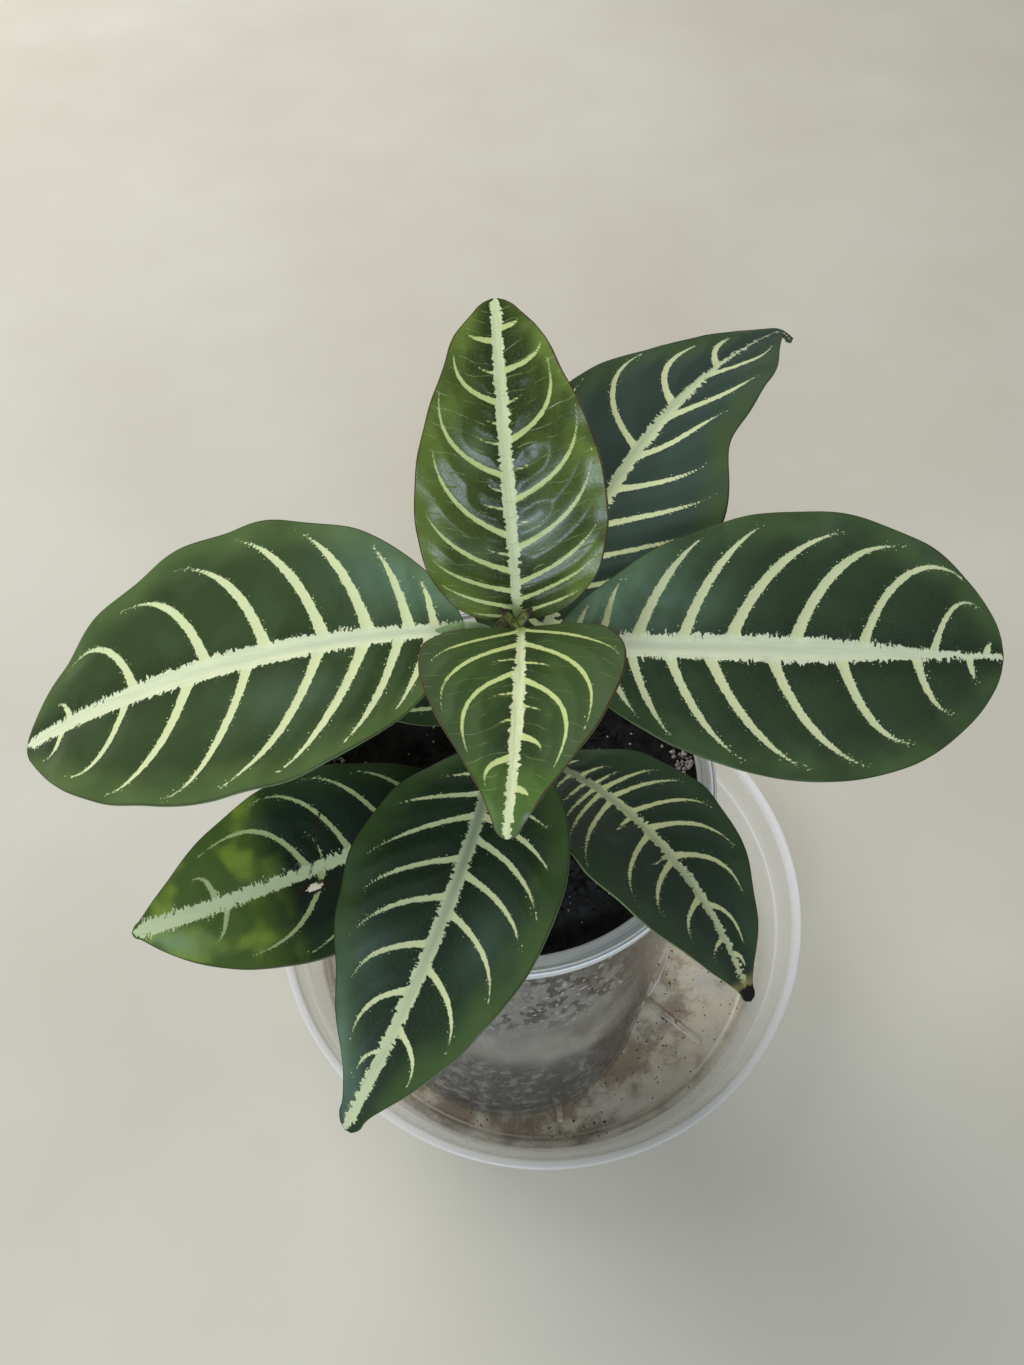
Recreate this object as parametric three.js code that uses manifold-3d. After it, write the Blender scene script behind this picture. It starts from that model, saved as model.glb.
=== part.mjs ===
// An aphelandra, a flowering house plant grown for its striped leaves, in a
// clear pot that stands off centre in a clear saucer. Millimetres, +Z up.
// The origin is the middle of the saucer's underside, on the surface that it
// stands on, and +Y points to the back of the plant.

import * as THREE from 'three';
import { mergeVertices } from 'three/addons/utils/BufferGeometryUtils.js';
import Module from 'manifold-3d';

const wasm = await Module();
wasm.setup();

const GAP = 0.3;
const DEGREE = Math.PI / 180;

// ---------------------------------------------------------------- sizes

const SAUCER = {
  rimRadius: 94,
  rimHeight: 31,
  ledgeRadius: 88,
  ledgeHeight: 19,
  floorRadius: 81,
  floorThickness: 2,
  wall: 1.8,
  ringRadius: 49.5,
  ringWidth: 3,
  ribCount: 8,
  ribHeading: -40,
  ribEndRadius: 75,
  ribWidth: 2,
  ribHeight: 1.2,
  sides: 56,
};

const POT = {
  centre: [-11, -25.5],
  baseRadius: 47.9,
  topRadius: 48.4,
  height: 161,
  wall: 1,
  floorThickness: 1.6,
  rimInnerRadius: 45.2,
  rimOuterRadius: 49.8,
  rimDepth: 3.4,
  drainHoles: 6,
  drainRadius: 4,
  drainCircle: 28,
  sides: 48,
};
POT.bottom = SAUCER.floorThickness + SAUCER.ribHeight + GAP;

const SOIL = {
  edgeHeight: 157,
  crown: 1.2,
  clods: 1,
  rings: 8,
  sides: POT.sides,
};

const STEM = {
  offset: [-0.5, 1.5],
  footHeight: 132,
  topHeight: 222.5,
  footRadius: 2.9,
  topRadius: 1.9,
  nodeHeights: [163.5, 174, 186, 194, 213, 219.5],
  nodeSwell: 0.55,
  nodeSpread: 1.8,
  scarHeading: 45,
  sides: 12,
};

// Stations along a blade, and places across it as a share of its half width.
const BLADE_STATIONS = 26;
const STALK_STATIONS = 3;
const ACROSS = [-1, -0.78, -0.46, -0.14, 0, 0.14, 0.46, 0.78, 1];
const BLADE_THICKNESS = 0.7;
const BLADE_FOLD = 0.12;
const KEEL_DEPTH = 1.5;
const STALK_HALF_WIDTH = 1.7;
const STALK_HALF_HEIGHT = 1.25;
const TIP_HALF_WIDTH = 0.5;

// Each leaf starts at startRadius from the stem's axis, in the direction
// startHeading, and leaves it towards heading, turning by turn on the way to
// its tip. Its slope goes from rise to dip. leftHalf and rightHalf are its
// half widths, looking from stem to tip; roll and twist bank it. baseTaper
// and tipTaper set how slowly it widens from the stem and narrows to the tip.
// Its stalk leaves the stem's axis stalkDrop below that start, and hook is how
// far its very tip curls down.
const LEAVES = [
  {
    name: 'leaf_top_back', young: true, height: 220, startRadius: 3, startHeading: 63,
    heading: 97.5, turn: -5, rise: 65.5, dip: 19.5, length: 62.5, leftHalf: 18, rightHalf: 18.5,
    roll: -4, twist: 0.5, baseTaper: 0.45, tipTaper: 0.85,
    veins: 8, quilt: 1.1, ruffle: 0.9, ruffles: 6, stalkDrop: 1,
  },
  {
    name: 'leaf_top_front', young: true, height: 224, startRadius: 3, startHeading: -65,
    heading: -88.5, turn: -6.5, rise: 23, dip: -32, length: 44.5, leftHalf: 20, rightHalf: 17.5,
    roll: 4, twist: 2, baseTaper: 0.4, tipTaper: 1.22,
    veins: 6, quilt: 0.8, ruffle: 0.7, ruffles: 5, stalkDrop: 3,
  },
  {
    name: 'leaf_left', young: false, height: 220, startRadius: 8, startHeading: 180,
    heading: 183, turn: 8.5, rise: 0.5, dip: -31.5, length: 99, leftHalf: 31.5, rightHalf: 31.5,
    roll: -6, twist: 8.5, baseTaper: 0.68, tipTaper: 0.77,
    veins: 8, quilt: 0.9, ruffle: 1.2, ruffles: 5, stalkDrop: 6,
  },
  {
    name: 'leaf_right', young: false, height: 215, startRadius: 8, startHeading: 0,
    heading: -4, turn: 5.5, rise: 4, dip: -6, length: 92, leftHalf: 28, rightHalf: 26.5,
    roll: 14, twist: 16.5, baseTaper: 0.79, tipTaper: 0.63,
    veins: 8, quilt: 0.9, ruffle: 1.2, ruffles: 5, stalkDrop: 3,
  },
  {
    name: 'leaf_back_right', young: false, height: 199.5, startRadius: 8, startHeading: 42,
    heading: 69, turn: -28.5, rise: 34, dip: -14, length: 113.5, leftHalf: 26, rightHalf: 25,
    roll: 4.5, twist: -1, baseTaper: 0.47, tipTaper: 1.1,
    veins: 8, quilt: 0.8, ruffle: 1.8, ruffles: 4, stalkDrop: 6, hook: 75,
  },
  {
    name: 'leaf_front', young: false, height: 189, startRadius: 8, startHeading: -104,
    heading: -98.5, turn: -26, rise: 11, dip: -36, length: 85.5, leftHalf: 22.5, rightHalf: 23.5,
    roll: 8.5, twist: 7.5, baseTaper: 0.74, tipTaper: 1.1,
    veins: 8, quilt: 0.8, ruffle: 1.1, ruffles: 5, stalkDrop: 3,
  },
  {
    name: 'leaf_front_right', young: false, height: 177, startRadius: 8, startHeading: -37,
    heading: -35.5, turn: -32.5, rise: 26.5, dip: -32.5, length: 73.5, leftHalf: 19, rightHalf: 21,
    roll: -18, twist: -2.5, baseTaper: 1, tipTaper: 1.2,
    veins: 8, quilt: 0.7, ruffle: 1, ruffles: 5, stalkDrop: 4,
  },
  {
    name: 'leaf_back_left', young: false, height: 177, startRadius: 8, startHeading: 143,
    heading: 141, turn: 14, rise: 16, dip: -32, length: 68, leftHalf: 19, rightHalf: 19,
    roll: 4, twist: 2, baseTaper: 0.9, tipTaper: 1.1,
    veins: 7, quilt: 0.7, ruffle: 1, ruffles: 5, stalkDrop: 4,
  },
  {
    name: 'leaf_low_left', young: false, height: 164.5, startRadius: 8, startHeading: 233,
    heading: 215, turn: -25, rise: 9.5, dip: -17.5, length: 88, leftHalf: 21, rightHalf: 23,
    roll: -2, twist: -4.5, baseTaper: 0.9, tipTaper: 0.98,
    veins: 7, quilt: 0.7, ruffle: 1, ruffles: 5, stalkDrop: 1,
  },
];

const BUD = {
  offset: [-0.7, 1.1],
  height: 223.1,
  radius: 1.4,
  leafletLength: 4.2,
  leafletHalfWidth: 1.2,
  leafletThickness: 1,
  leafletTilt: 52,
  headings: [170, 6],
};

// ------------------------------------------------------------ materials

function finish(color, roughness, options = {}) {
  return new THREE.MeshStandardMaterial({ color, roughness, metalness: 0, ...options });
}

const matureLeafFinish = () => finish(0x24482c, 0.42, { flatShading: true });
const youngLeafFinish = () => finish(0x3f6a24, 0.34, { flatShading: true });
const stemFinish = () => finish(0x5d6b36, 0.6);
const soilFinish = () => finish(0x1d1916, 0.95, { flatShading: true });
const clearFinish = () => finish(0xd9dcda, 0.3, { transparent: true, opacity: 0.4 });

// --------------------------------------------------------- solid helpers

function toSolid(geometry) {
  const bare = geometry.clone();
  bare.deleteAttribute('normal');
  bare.deleteAttribute('uv');
  const merged = mergeVertices(bare, 1e-4);
  return new wasm.Manifold(new wasm.Mesh({
    numProp: 3,
    vertProperties: new Float32Array(merged.attributes.position.array),
    triVerts: new Uint32Array(merged.index.array),
  }));
}

function toGeometry(solid) {
  const mesh = solid.getMesh();
  const geometry = new THREE.BufferGeometry();
  geometry.setAttribute('position', new THREE.BufferAttribute(new Float32Array(mesh.vertProperties), 3));
  geometry.setIndex(new THREE.BufferAttribute(new Uint32Array(mesh.triVerts), 1));
  geometry.computeVertexNormals();
  return geometry;
}

// Turns a profile of [radius, height] pairs, from the axis round to the axis.
function turned(profile, sides) {
  const points = profile.map(([radius, height]) => new THREE.Vector2(radius, height));
  return new THREE.LatheGeometry(points, sides).rotateX(Math.PI / 2);
}

function node(name, geometry, material) {
  const mesh = new THREE.Mesh(geometry, material);
  mesh.name = name;
  return mesh;
}

function mix(a, b, share) {
  return a + (b - a) * share;
}

function smoothStep(low, high, value) {
  const share = Math.min(1, Math.max(0, (value - low) / (high - low)));
  return share * share * (3 - 2 * share);
}

// --------------------------------------------------------------- saucer

function saucerShell() {
  const { rimRadius, rimHeight, ledgeRadius, ledgeHeight, floorRadius, floorThickness, wall } = SAUCER;
  return turned([
    [0, 0],
    [floorRadius - 1, 0],
    [floorRadius + 1.6, 1.6],
    [ledgeRadius + 0.4, ledgeHeight - 1.8],
    [ledgeRadius + 2.6, ledgeHeight - 0.9],
    [rimRadius - 1.4, rimHeight - 2.2],
    [rimRadius, rimHeight - 1.6],
    [rimRadius - 0.2, rimHeight],
    [rimRadius - 2.8, rimHeight - 0.6],
    [ledgeRadius + 2.6 - wall, ledgeHeight + 0.9],
    [ledgeRadius - 1.2, ledgeHeight],
    [floorRadius, floorThickness + 1.6],
    [floorRadius - 1.8, floorThickness],
    [0, floorThickness],
  ], SAUCER.sides);
}

function floorRing() {
  const { ringRadius, ringWidth, ribHeight, floorThickness } = SAUCER;
  const inner = ringRadius - ringWidth / 2;
  const outer = ringRadius + ringWidth / 2;
  const low = floorThickness - 0.6;
  const top = floorThickness + ribHeight;
  return turned([
    [inner, low],
    [outer, low],
    [outer, top - 0.4],
    [outer - 0.4, top],
    [inner + 0.4, top],
    [inner, top - 0.4],
    [inner, low],
  ], SAUCER.sides);
}

function floorRib(index) {
  const { ringRadius, ribEndRadius, ribWidth, ribHeight, floorThickness } = SAUCER;
  const heading = (SAUCER.ribHeading + index * 360 / SAUCER.ribCount) * DEGREE;
  const length = ribEndRadius - ringRadius;
  const sunk = 0.6;
  const rib = new THREE.BoxGeometry(length, ribWidth, ribHeight + sunk);
  rib.translate(ringRadius + length / 2, 0, floorThickness + (ribHeight - sunk) / 2);
  return rib.rotateZ(heading);
}

function makeSaucer() {
  let solid = toSolid(saucerShell()).add(toSolid(floorRing()));
  for (let index = 0; index < SAUCER.ribCount; index += 1) {
    solid = solid.add(toSolid(floorRib(index)));
  }
  return node('saucer', toGeometry(solid), clearFinish());
}

// ------------------------------------------------------------------ pot

const POT_INNER_BASE = POT.baseRadius - POT.wall;
const POT_INNER_TOP = POT.topRadius - POT.wall;
const POT_RIM_HEIGHT = POT.bottom + POT.height;

function potInnerRadius(height) {
  const share = (height - POT.bottom) / (POT.height - POT.rimDepth);
  return mix(POT_INNER_BASE, POT_INNER_TOP, share);
}

// A straight wall under a flat rim, which reaches in over the soil's edge and
// out to a raised bead.
function potShell() {
  const { bottom, baseRadius, topRadius, floorThickness } = POT;
  const { rimInnerRadius, rimOuterRadius, rimDepth } = POT;
  const rim = POT_RIM_HEIGHT;
  const under = rim - rimDepth;
  return turned([
    [0, bottom],
    [baseRadius - 1.4, bottom],
    [baseRadius, bottom + 1.4],
    [topRadius, under],
    [rimOuterRadius - 0.3, under + 0.4],
    [rimOuterRadius, under + 0.9],
    [rimOuterRadius, rim - 0.4],
    [rimOuterRadius - 0.4, rim],
    [rimOuterRadius - 0.8, rim],
    [rimOuterRadius - 1.3, rim - 0.6],
    [rimInnerRadius + 0.4, rim - 0.6],
    [rimInnerRadius, rim - 1],
    [rimInnerRadius + 0.4, rim - 1.7],
    [POT_INNER_TOP, rim - 2.4],
    [POT_INNER_TOP, under],
    [POT_INNER_BASE, bottom + floorThickness + 1],
    [POT_INNER_BASE - 1.2, bottom + floorThickness],
    [0, bottom + floorThickness],
  ], POT.sides);
}

function drainHole(index) {
  const angle = index * 2 * Math.PI / POT.drainHoles;
  const depth = POT.floorThickness + 4;
  const hole = new THREE.CylinderGeometry(POT.drainRadius, POT.drainRadius, depth, 10);
  hole.rotateX(Math.PI / 2);
  return hole.translate(
    POT.drainCircle * Math.cos(angle),
    POT.drainCircle * Math.sin(angle),
    POT.bottom + POT.floorThickness / 2,
  );
}

function makePot() {
  let solid = toSolid(potShell());
  for (let index = 0; index < POT.drainHoles; index += 1) {
    solid = solid.subtract(toSolid(drainHole(index)));
  }
  return node('pot', toGeometry(solid), clearFinish());
}

// ----------------------------------------------------------------- soil

// Low clods, as three crossing waves of unlike length and direction.
function clodHeight(x, y) {
  const long = Math.sin(0.31 * x + 0.17 * y + 0.8);
  const middle = Math.sin(0.52 * y - 0.23 * x + 2.1);
  const short = Math.sin(0.83 * x + 0.61 * y) * 0.7;
  return SOIL.clods * (long + middle + short) / 2.7;
}

function soilTopHeight(x, y, edgeRadius) {
  const share = Math.min(1, Math.hypot(x, y) / edgeRadius);
  const calm = 1 - smoothStep(0.86, 1, share);
  return SOIL.edgeHeight + SOIL.crown * (1 - share * share) + clodHeight(x, y) * calm;
}

function soilBody() {
  const edgeRadius = potInnerRadius(SOIL.edgeHeight) - GAP;
  const low = POT.bottom + POT.floorThickness + GAP;
  const profile = [[0, low], [POT_INNER_BASE - 2, low], [POT_INNER_BASE - GAP, low + 1.6]];
  for (let ring = SOIL.rings; ring >= 0; ring -= 1) {
    profile.push([edgeRadius * ring / SOIL.rings, SOIL.edgeHeight]);
  }
  const body = turned(profile, SOIL.sides);
  const place = body.attributes.position;
  for (let index = 0; index < place.count; index += 1) {
    if (place.getZ(index) > SOIL.edgeHeight - 0.01) {
      place.setZ(index, soilTopHeight(place.getX(index), place.getY(index), edgeRadius));
    }
  }
  return body;
}

function makeSoil() {
  const hole = stemBody(GAP).translate(...STEM.offset, 0);
  return node('soil', toGeometry(toSolid(soilBody()).subtract(toSolid(hole))), soilFinish());
}

// ----------------------------------------------------------------- stem

function stemRadius(height) {
  const share = smoothStep(STEM.footHeight, STEM.topHeight, height);
  let radius = mix(STEM.footRadius, STEM.topRadius, share);
  for (const nodeHeight of STEM.nodeHeights) {
    const away = (height - nodeHeight) / STEM.nodeSpread;
    radius += STEM.nodeSwell * Math.exp(-away * away);
  }
  return radius;
}

// The stem's outline, grown by margin all round.
function stemBody(margin = 0) {
  const low = STEM.footHeight - margin;
  const high = STEM.topHeight + margin;
  const steps = 30;
  const profile = [[0, low], [STEM.footRadius * 0.6 + margin, low]];
  for (let step = 0; step <= steps; step += 1) {
    const height = mix(STEM.footHeight + 2, STEM.topHeight - 0.6, step / steps);
    profile.push([stemRadius(height) + margin, height]);
  }
  profile.push([STEM.topRadius * 0.7 + margin, high], [0, high]);
  return turned(profile, STEM.sides);
}

// The raised rim of the scar where the lowest pair's other leaf has dropped.
function leafScar() {
  const scar = new THREE.CylinderGeometry(1.5, 1.9, 2, 8).rotateX(Math.PI / 2);
  scar.rotateY(Math.PI / 2);
  scar.translate(stemRadius(STEM.nodeHeights[0]) - 0.3, 0, STEM.nodeHeights[0] + 1);
  return scar.rotateZ(STEM.scarHeading * DEGREE);
}

function makeStem() {
  return node('stem', toGeometry(toSolid(stemBody()).add(toSolid(leafScar()))), stemFinish());
}

// --------------------------------------------------------------- leaves

// How wide the blade is at a share of its length, 1 at its widest.
function bladeOutline(leaf, share) {
  const { baseTaper, tipTaper } = leaf;
  const widest = baseTaper / (baseTaper + tipTaper);
  const peak = widest ** baseTaper * (1 - widest) ** tipTaper;
  return share ** baseTaper * (1 - share) ** tipTaper / peak;
}

function bladeDirection(leaf, share) {
  const hook = (leaf.hook ?? 0) * smoothStep(0.92, 1, share);
  const slope = (mix(leaf.rise, leaf.dip, share) - hook) * DEGREE;
  const heading = (leaf.heading + leaf.turn * share) * DEGREE;
  return new THREE.Vector3(
    Math.cos(slope) * Math.cos(heading),
    Math.cos(slope) * Math.sin(heading),
    Math.sin(slope),
  );
}

// A cross-section's place, with its left and up directions, banked by roll.
function station(centre, along, roll, share) {
  const left = new THREE.Vector3(0, 0, 1).cross(along).normalize();
  const up = along.clone().cross(left);
  const bank = roll * DEGREE;
  return {
    centre: centre.clone(),
    share,
    left: left.clone().multiplyScalar(Math.cos(bank)).addScaledVector(up, Math.sin(bank)),
    up: up.clone().multiplyScalar(Math.cos(bank)).addScaledVector(left, -Math.sin(bank)),
  };
}

function stalkStations(leaf, start) {
  const out = bladeDirection(leaf, 0);
  const root = new THREE.Vector3(0, 0, leaf.height - leaf.stalkDrop);
  const bend = start.clone().addScaledVector(out, -leaf.startRadius / 2);
  const route = new THREE.QuadraticBezierCurve3(root, bend, start);
  const stations = [];
  for (let step = 0; step < STALK_STATIONS; step += 1) {
    const share = step / STALK_STATIONS;
    stations.push(station(route.getPoint(share), route.getTangent(share), leaf.roll, 0));
  }
  return stations;
}

function leafStations(leaf) {
  const heading = leaf.startHeading * DEGREE;
  const start = new THREE.Vector3(
    leaf.startRadius * Math.cos(heading),
    leaf.startRadius * Math.sin(heading),
    leaf.height,
  );
  const stations = stalkStations(leaf, start);
  const centre = start.clone();
  const step = leaf.length / BLADE_STATIONS;
  for (let index = 0; index <= BLADE_STATIONS; index += 1) {
    const share = index / BLADE_STATIONS;
    const roll = leaf.roll + leaf.twist * share;
    stations.push(station(centre, bladeDirection(leaf, share), roll, share));
    centre.addScaledVector(bladeDirection(leaf, share + 0.5 / BLADE_STATIONS), step);
  }
  return stations;
}

// Pleats that swell between the side veins, and the waves of the margin.
function bladeRelief(leaf, share, across) {
  const out = Math.abs(across);
  const calm = smoothStep(0, 0.12, share) * (1 - smoothStep(0.86, 1, share));
  const pleat = 0.5 - 0.5 * Math.cos(2 * Math.PI * leaf.veins * (share - 0.16 * out ** 1.3));
  const swell = leaf.quilt * pleat * smoothStep(0, 0.4, out) * (1 - 0.5 * smoothStep(0.7, 1, out));
  const side = across < 0 ? 1.9 : 0.4;
  const wave = leaf.ruffle * out ** 3 * Math.sin(2 * Math.PI * leaf.ruffles * share + side);
  return calm * (swell + wave);
}

// The top and bottom points of a cross-section at one place across it.
function sectionPoints(leaf, spot, across) {
  const half = across < 0 ? leaf.rightHalf : leaf.leftHalf;
  const width = Math.max(half * bladeOutline(leaf, spot.share), TIP_HALF_WIDTH);
  const open = smoothStep(0, 0.09, spot.share);
  const arch = Math.sqrt(Math.max(0, 1 - across * across));
  const stalkLift = Math.max(STALK_HALF_HEIGHT * arch, BLADE_THICKNESS / 2);
  const keel = across === 0 ? KEEL_DEPTH * (1 - spot.share) ** 0.8 : 0;
  const lift = Math.abs(across) * width * Math.sin(BLADE_FOLD) + bladeRelief(leaf, spot.share, across);
  const sideways = mix(across * STALK_HALF_WIDTH, across * width * Math.cos(BLADE_FOLD), open);
  const top = mix(stalkLift, lift + BLADE_THICKNESS / 2, open);
  const bottom = mix(-stalkLift, lift - BLADE_THICKNESS / 2 - keel, open);
  const point = (height) => spot.centre.clone()
    .addScaledVector(spot.left, sideways)
    .addScaledVector(spot.up, height);
  return [point(top), point(bottom)];
}

// The closed skin of a leaf: its top and bottom, split alike into triangles,
// its two margins and the ends at the stalk and the tip.
function leafShell(leaf) {
  const rows = leafStations(leaf).map((spot) => ACROSS.map((across) => sectionPoints(leaf, spot, across)));
  const last = ACROSS.length - 1;
  const tip = rows.length - 1;
  const top = (row, column) => (row * ACROSS.length + column) * 2;
  const bottom = (row, column) => top(row, column) + 1;
  const indices = [];
  const quad = (a, b, c, d) => indices.push(a, b, c, a, c, d);
  for (let row = 0; row < tip; row += 1) {
    const on = row + 1;
    for (let column = 0; column < last; column += 1) {
      const next = column + 1;
      quad(top(row, column), top(on, column), top(on, next), top(row, next));
      quad(bottom(row, column), bottom(row, next), bottom(on, next), bottom(on, column));
    }
    quad(top(row, 0), bottom(row, 0), bottom(on, 0), top(on, 0));
    quad(top(row, last), top(on, last), bottom(on, last), bottom(row, last));
  }
  for (let column = 0; column < last; column += 1) {
    const next = column + 1;
    quad(top(0, column), top(0, next), bottom(0, next), bottom(0, column));
    quad(top(tip, column), bottom(tip, column), bottom(tip, next), top(tip, next));
  }
  const positions = rows.flat(2).flatMap((point) => point.toArray());
  const shell = new THREE.BufferGeometry();
  shell.setAttribute('position', new THREE.BufferAttribute(new Float32Array(positions), 3));
  shell.setIndex(indices);
  return shell;
}

function makeLeaf(leaf) {
  const solid = toSolid(leafShell(leaf)).subtract(toSolid(stemBody(GAP)));
  return node(leaf.name, toGeometry(solid), leaf.young ? youngLeafFinish() : matureLeafFinish());
}

// ------------------------------------------------------------------ bud

// One folded leaflet: a flat spindle that leans away from the stem's tip.
function budLeaflet(heading) {
  const leaflet = new THREE.SphereGeometry(1, 8, 6);
  leaflet.scale(BUD.leafletHalfWidth, BUD.leafletThickness / 2, BUD.leafletLength / 2);
  leaflet.translate(0, 0, BUD.leafletLength / 2);
  leaflet.rotateX(BUD.leafletTilt * DEGREE);
  leaflet.rotateZ((heading + 90) * DEGREE);
  return leaflet.translate(...BUD.offset, BUD.height);
}

function makeBud() {
  const dome = new THREE.SphereGeometry(BUD.radius, 10, 6).scale(1, 1, 0.6);
  dome.translate(...BUD.offset, BUD.height + BUD.radius * 0.6);
  let solid = toSolid(dome);
  for (const heading of BUD.headings) {
    solid = solid.add(toSolid(budLeaflet(heading)));
  }
  const stem = toSolid(stemBody(GAP));
  return node('bud', toGeometry(solid.subtract(stem)), youngLeafFinish());
}

// ------------------------------------------------------------- assembly

const plant = new THREE.Group();
plant.position.set(STEM.offset[0], STEM.offset[1], 0);
plant.add(makeStem(), makeBud(), ...LEAVES.map(makeLeaf));

const potted = new THREE.Group();
potted.position.set(POT.centre[0], POT.centre[1], 0);
potted.add(makePot(), makeSoil(), plant);

const group = new THREE.Group();
group.add(makeSaucer(), potted);

export default group;
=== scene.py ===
"""A young aphelandra in a clear pot and saucer: fine pieces, finishes, light and camera.

Sizes are in millimetres in the classes, and MM turns them into the metres of
the meshes. The origin is the middle of the saucer's underside, +Z is up and
+Y is the back of the plant.
"""

import logging
import math
import random
from dataclasses import dataclass, replace
from enum import Enum
from typing import Callable, Sequence

import bmesh
import bpy
import numpy as np
from bpy.types import Material, Object
from mathutils import Matrix, Vector, noise


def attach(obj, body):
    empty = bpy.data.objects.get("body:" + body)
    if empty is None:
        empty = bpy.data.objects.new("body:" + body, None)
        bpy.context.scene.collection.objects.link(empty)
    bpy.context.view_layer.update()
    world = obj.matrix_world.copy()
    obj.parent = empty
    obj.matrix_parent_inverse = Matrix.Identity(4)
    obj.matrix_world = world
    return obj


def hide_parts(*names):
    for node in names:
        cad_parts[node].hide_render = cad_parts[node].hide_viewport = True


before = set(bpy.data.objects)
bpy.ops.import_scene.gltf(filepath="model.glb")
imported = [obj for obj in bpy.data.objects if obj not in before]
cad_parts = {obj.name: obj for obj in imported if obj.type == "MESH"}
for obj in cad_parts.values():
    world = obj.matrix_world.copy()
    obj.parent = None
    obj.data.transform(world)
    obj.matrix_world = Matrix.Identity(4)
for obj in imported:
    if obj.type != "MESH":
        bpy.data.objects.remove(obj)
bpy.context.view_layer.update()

MM = 0.001
BODY = "root"
POT_CENTRE = Vector((-11, -25.5, 0))
STEM_AXIS = Vector((-11.5, -24, 0))

log = logging.getLogger("aphelandra")

Point = tuple[float, float]
Colour = tuple[float, float, float, float]
Field = np.ndarray


# ------------------------------------------------------------- small helpers


def paint(code: str) -> Colour:
    """Turn a display colour such as "#24482c" into linear red, green, blue and 1.

    Args:
        code: The colour, as # and six hexadecimal digits.

    Returns:
        The colour for a socket.
    """
    parts = [int(code[i : i + 2], 16) / 255 for i in (1, 3, 5)]
    linear = [((p + 0.055) / 1.055) ** 2.4 if p > 0.04045 else p / 12.92 for p in parts]
    return (*linear, 1.0)


def mix(low: Field, high: Field, share: Field) -> Field:
    """Blend from low at share 0 to high at share 1."""
    return low + (high - low) * share


def smooth_step(low: float, high: float, value: Field) -> Field:
    """Rise smoothly from 0 at low to 1 at high."""
    share = np.clip((value - low) / (high - low), 0, 1)
    return share * share * (3 - 2 * share)


def hump(value: Field, width: float) -> Field:
    """A rounded bump, 1 where value is 0 and near 0 past twice width."""
    return np.exp(-((value / width) ** 2))


def softened(profile: Sequence[Point], radius: float) -> list[Point]:
    """Round the inner corners of a profile with short arcs of three points.

    Args:
        profile: Corners as (radius, height), from one end to the other.
        radius: How far back along each leg an arc starts, at most.

    Returns:
        The profile with each inner corner rounded.
    """
    points = [Vector(point) for point in profile]
    result = [tuple(points[0])]
    for before, corner, after in zip(points, points[1:], points[2:]):
        back, on = before - corner, after - corner
        cut = min(radius, back.length * 0.45, on.length * 0.45)
        first = corner + back.normalized() * cut
        last = corner + on.normalized() * cut
        middle = (first + last) / 4 + corner / 2
        result += [tuple(first), tuple(middle), tuple(last)]
    result.append(tuple(points[-1]))
    return result


def turned(profile: Sequence[Point], steps: int) -> bmesh.types.BMesh:
    """Spin a profile once round the Z axis into a closed skin.

    Args:
        profile: Points as (radius, height) in millimetres.
        steps: How many faces go round.

    Returns:
        A new bmesh in metres with its seam and poles merged.
    """
    shape = bmesh.new()
    corners = [shape.verts.new((r * MM, 0, h * MM)) for r, h in profile]
    edges = [shape.edges.new(pair) for pair in zip(corners, corners[1:])]
    bmesh.ops.spin(
        shape, geom=corners + edges, cent=(0, 0, 0), axis=(0, 0, 1),
        angle=2 * math.pi, steps=steps, use_merge=True,
    )
    bmesh.ops.remove_doubles(shape, verts=shape.verts[:], dist=1e-7)
    bmesh.ops.recalc_face_normals(shape, faces=shape.faces[:])
    return shape


def wrap_tube(
    shape: bmesh.types.BMesh,
    place: Callable[[float, float], Vector],
    along: int,
    around: int,
) -> list[bmesh.types.BMVert]:
    """Roll a grid into a tube and add it to shape.

    Args:
        shape: The bmesh that the tube joins.
        place: Gives the point for a share of the length and an angle.
        along: How many faces the tube has from end to end.
        around: How many faces it has round.

    Returns:
        The tube's vertices, with its seam and its pinched ends merged.
    """
    made = bmesh.ops.create_grid(shape, x_segments=along, y_segments=around, size=1)
    verts = made["verts"]
    for vert in verts:
        vert.co = place((vert.co.x + 1) / 2, (vert.co.y + 1) * math.pi)
    faces = list({face for vert in verts for face in vert.link_faces})
    bmesh.ops.remove_doubles(shape, verts=verts, dist=1e-6)
    faces = [face for face in faces if face.is_valid]
    bmesh.ops.recalc_face_normals(shape, faces=faces)
    return list({vert for face in faces for vert in face.verts})


def settle(
    shape: bmesh.types.BMesh,
    name: str,
    finishes: Sequence[Material],
    slot: str,
    replaces: str,
) -> Object:
    """Turn a bmesh into a finished piece that rides on the plant.

    Args:
        shape: The piece in its final place, in metres. It is freed.
        name: The piece's name.
        finishes: Its materials, by the faces' material index.
        slot: Not used.
        replaces: Name of the solid that it stands for.

    Returns:
        The new object, at the origin.
    """
    for face in shape.faces:
        face.smooth = True
    mesh = bpy.data.meshes.new(name)
    shape.to_mesh(mesh)
    shape.free()
    piece = bpy.data.objects.new(name, mesh)
    bpy.context.scene.collection.objects.link(piece)
    for finish in finishes:
        mesh.materials.append(finish)
    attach(piece, BODY)
    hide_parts(replaces)
    triangles = sum(len(polygon.vertices) - 2 for polygon in mesh.polygons)
    log.info("%s: %d triangles", name, triangles)
    return piece


# -------------------------------------------------------------------- finishes


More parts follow.
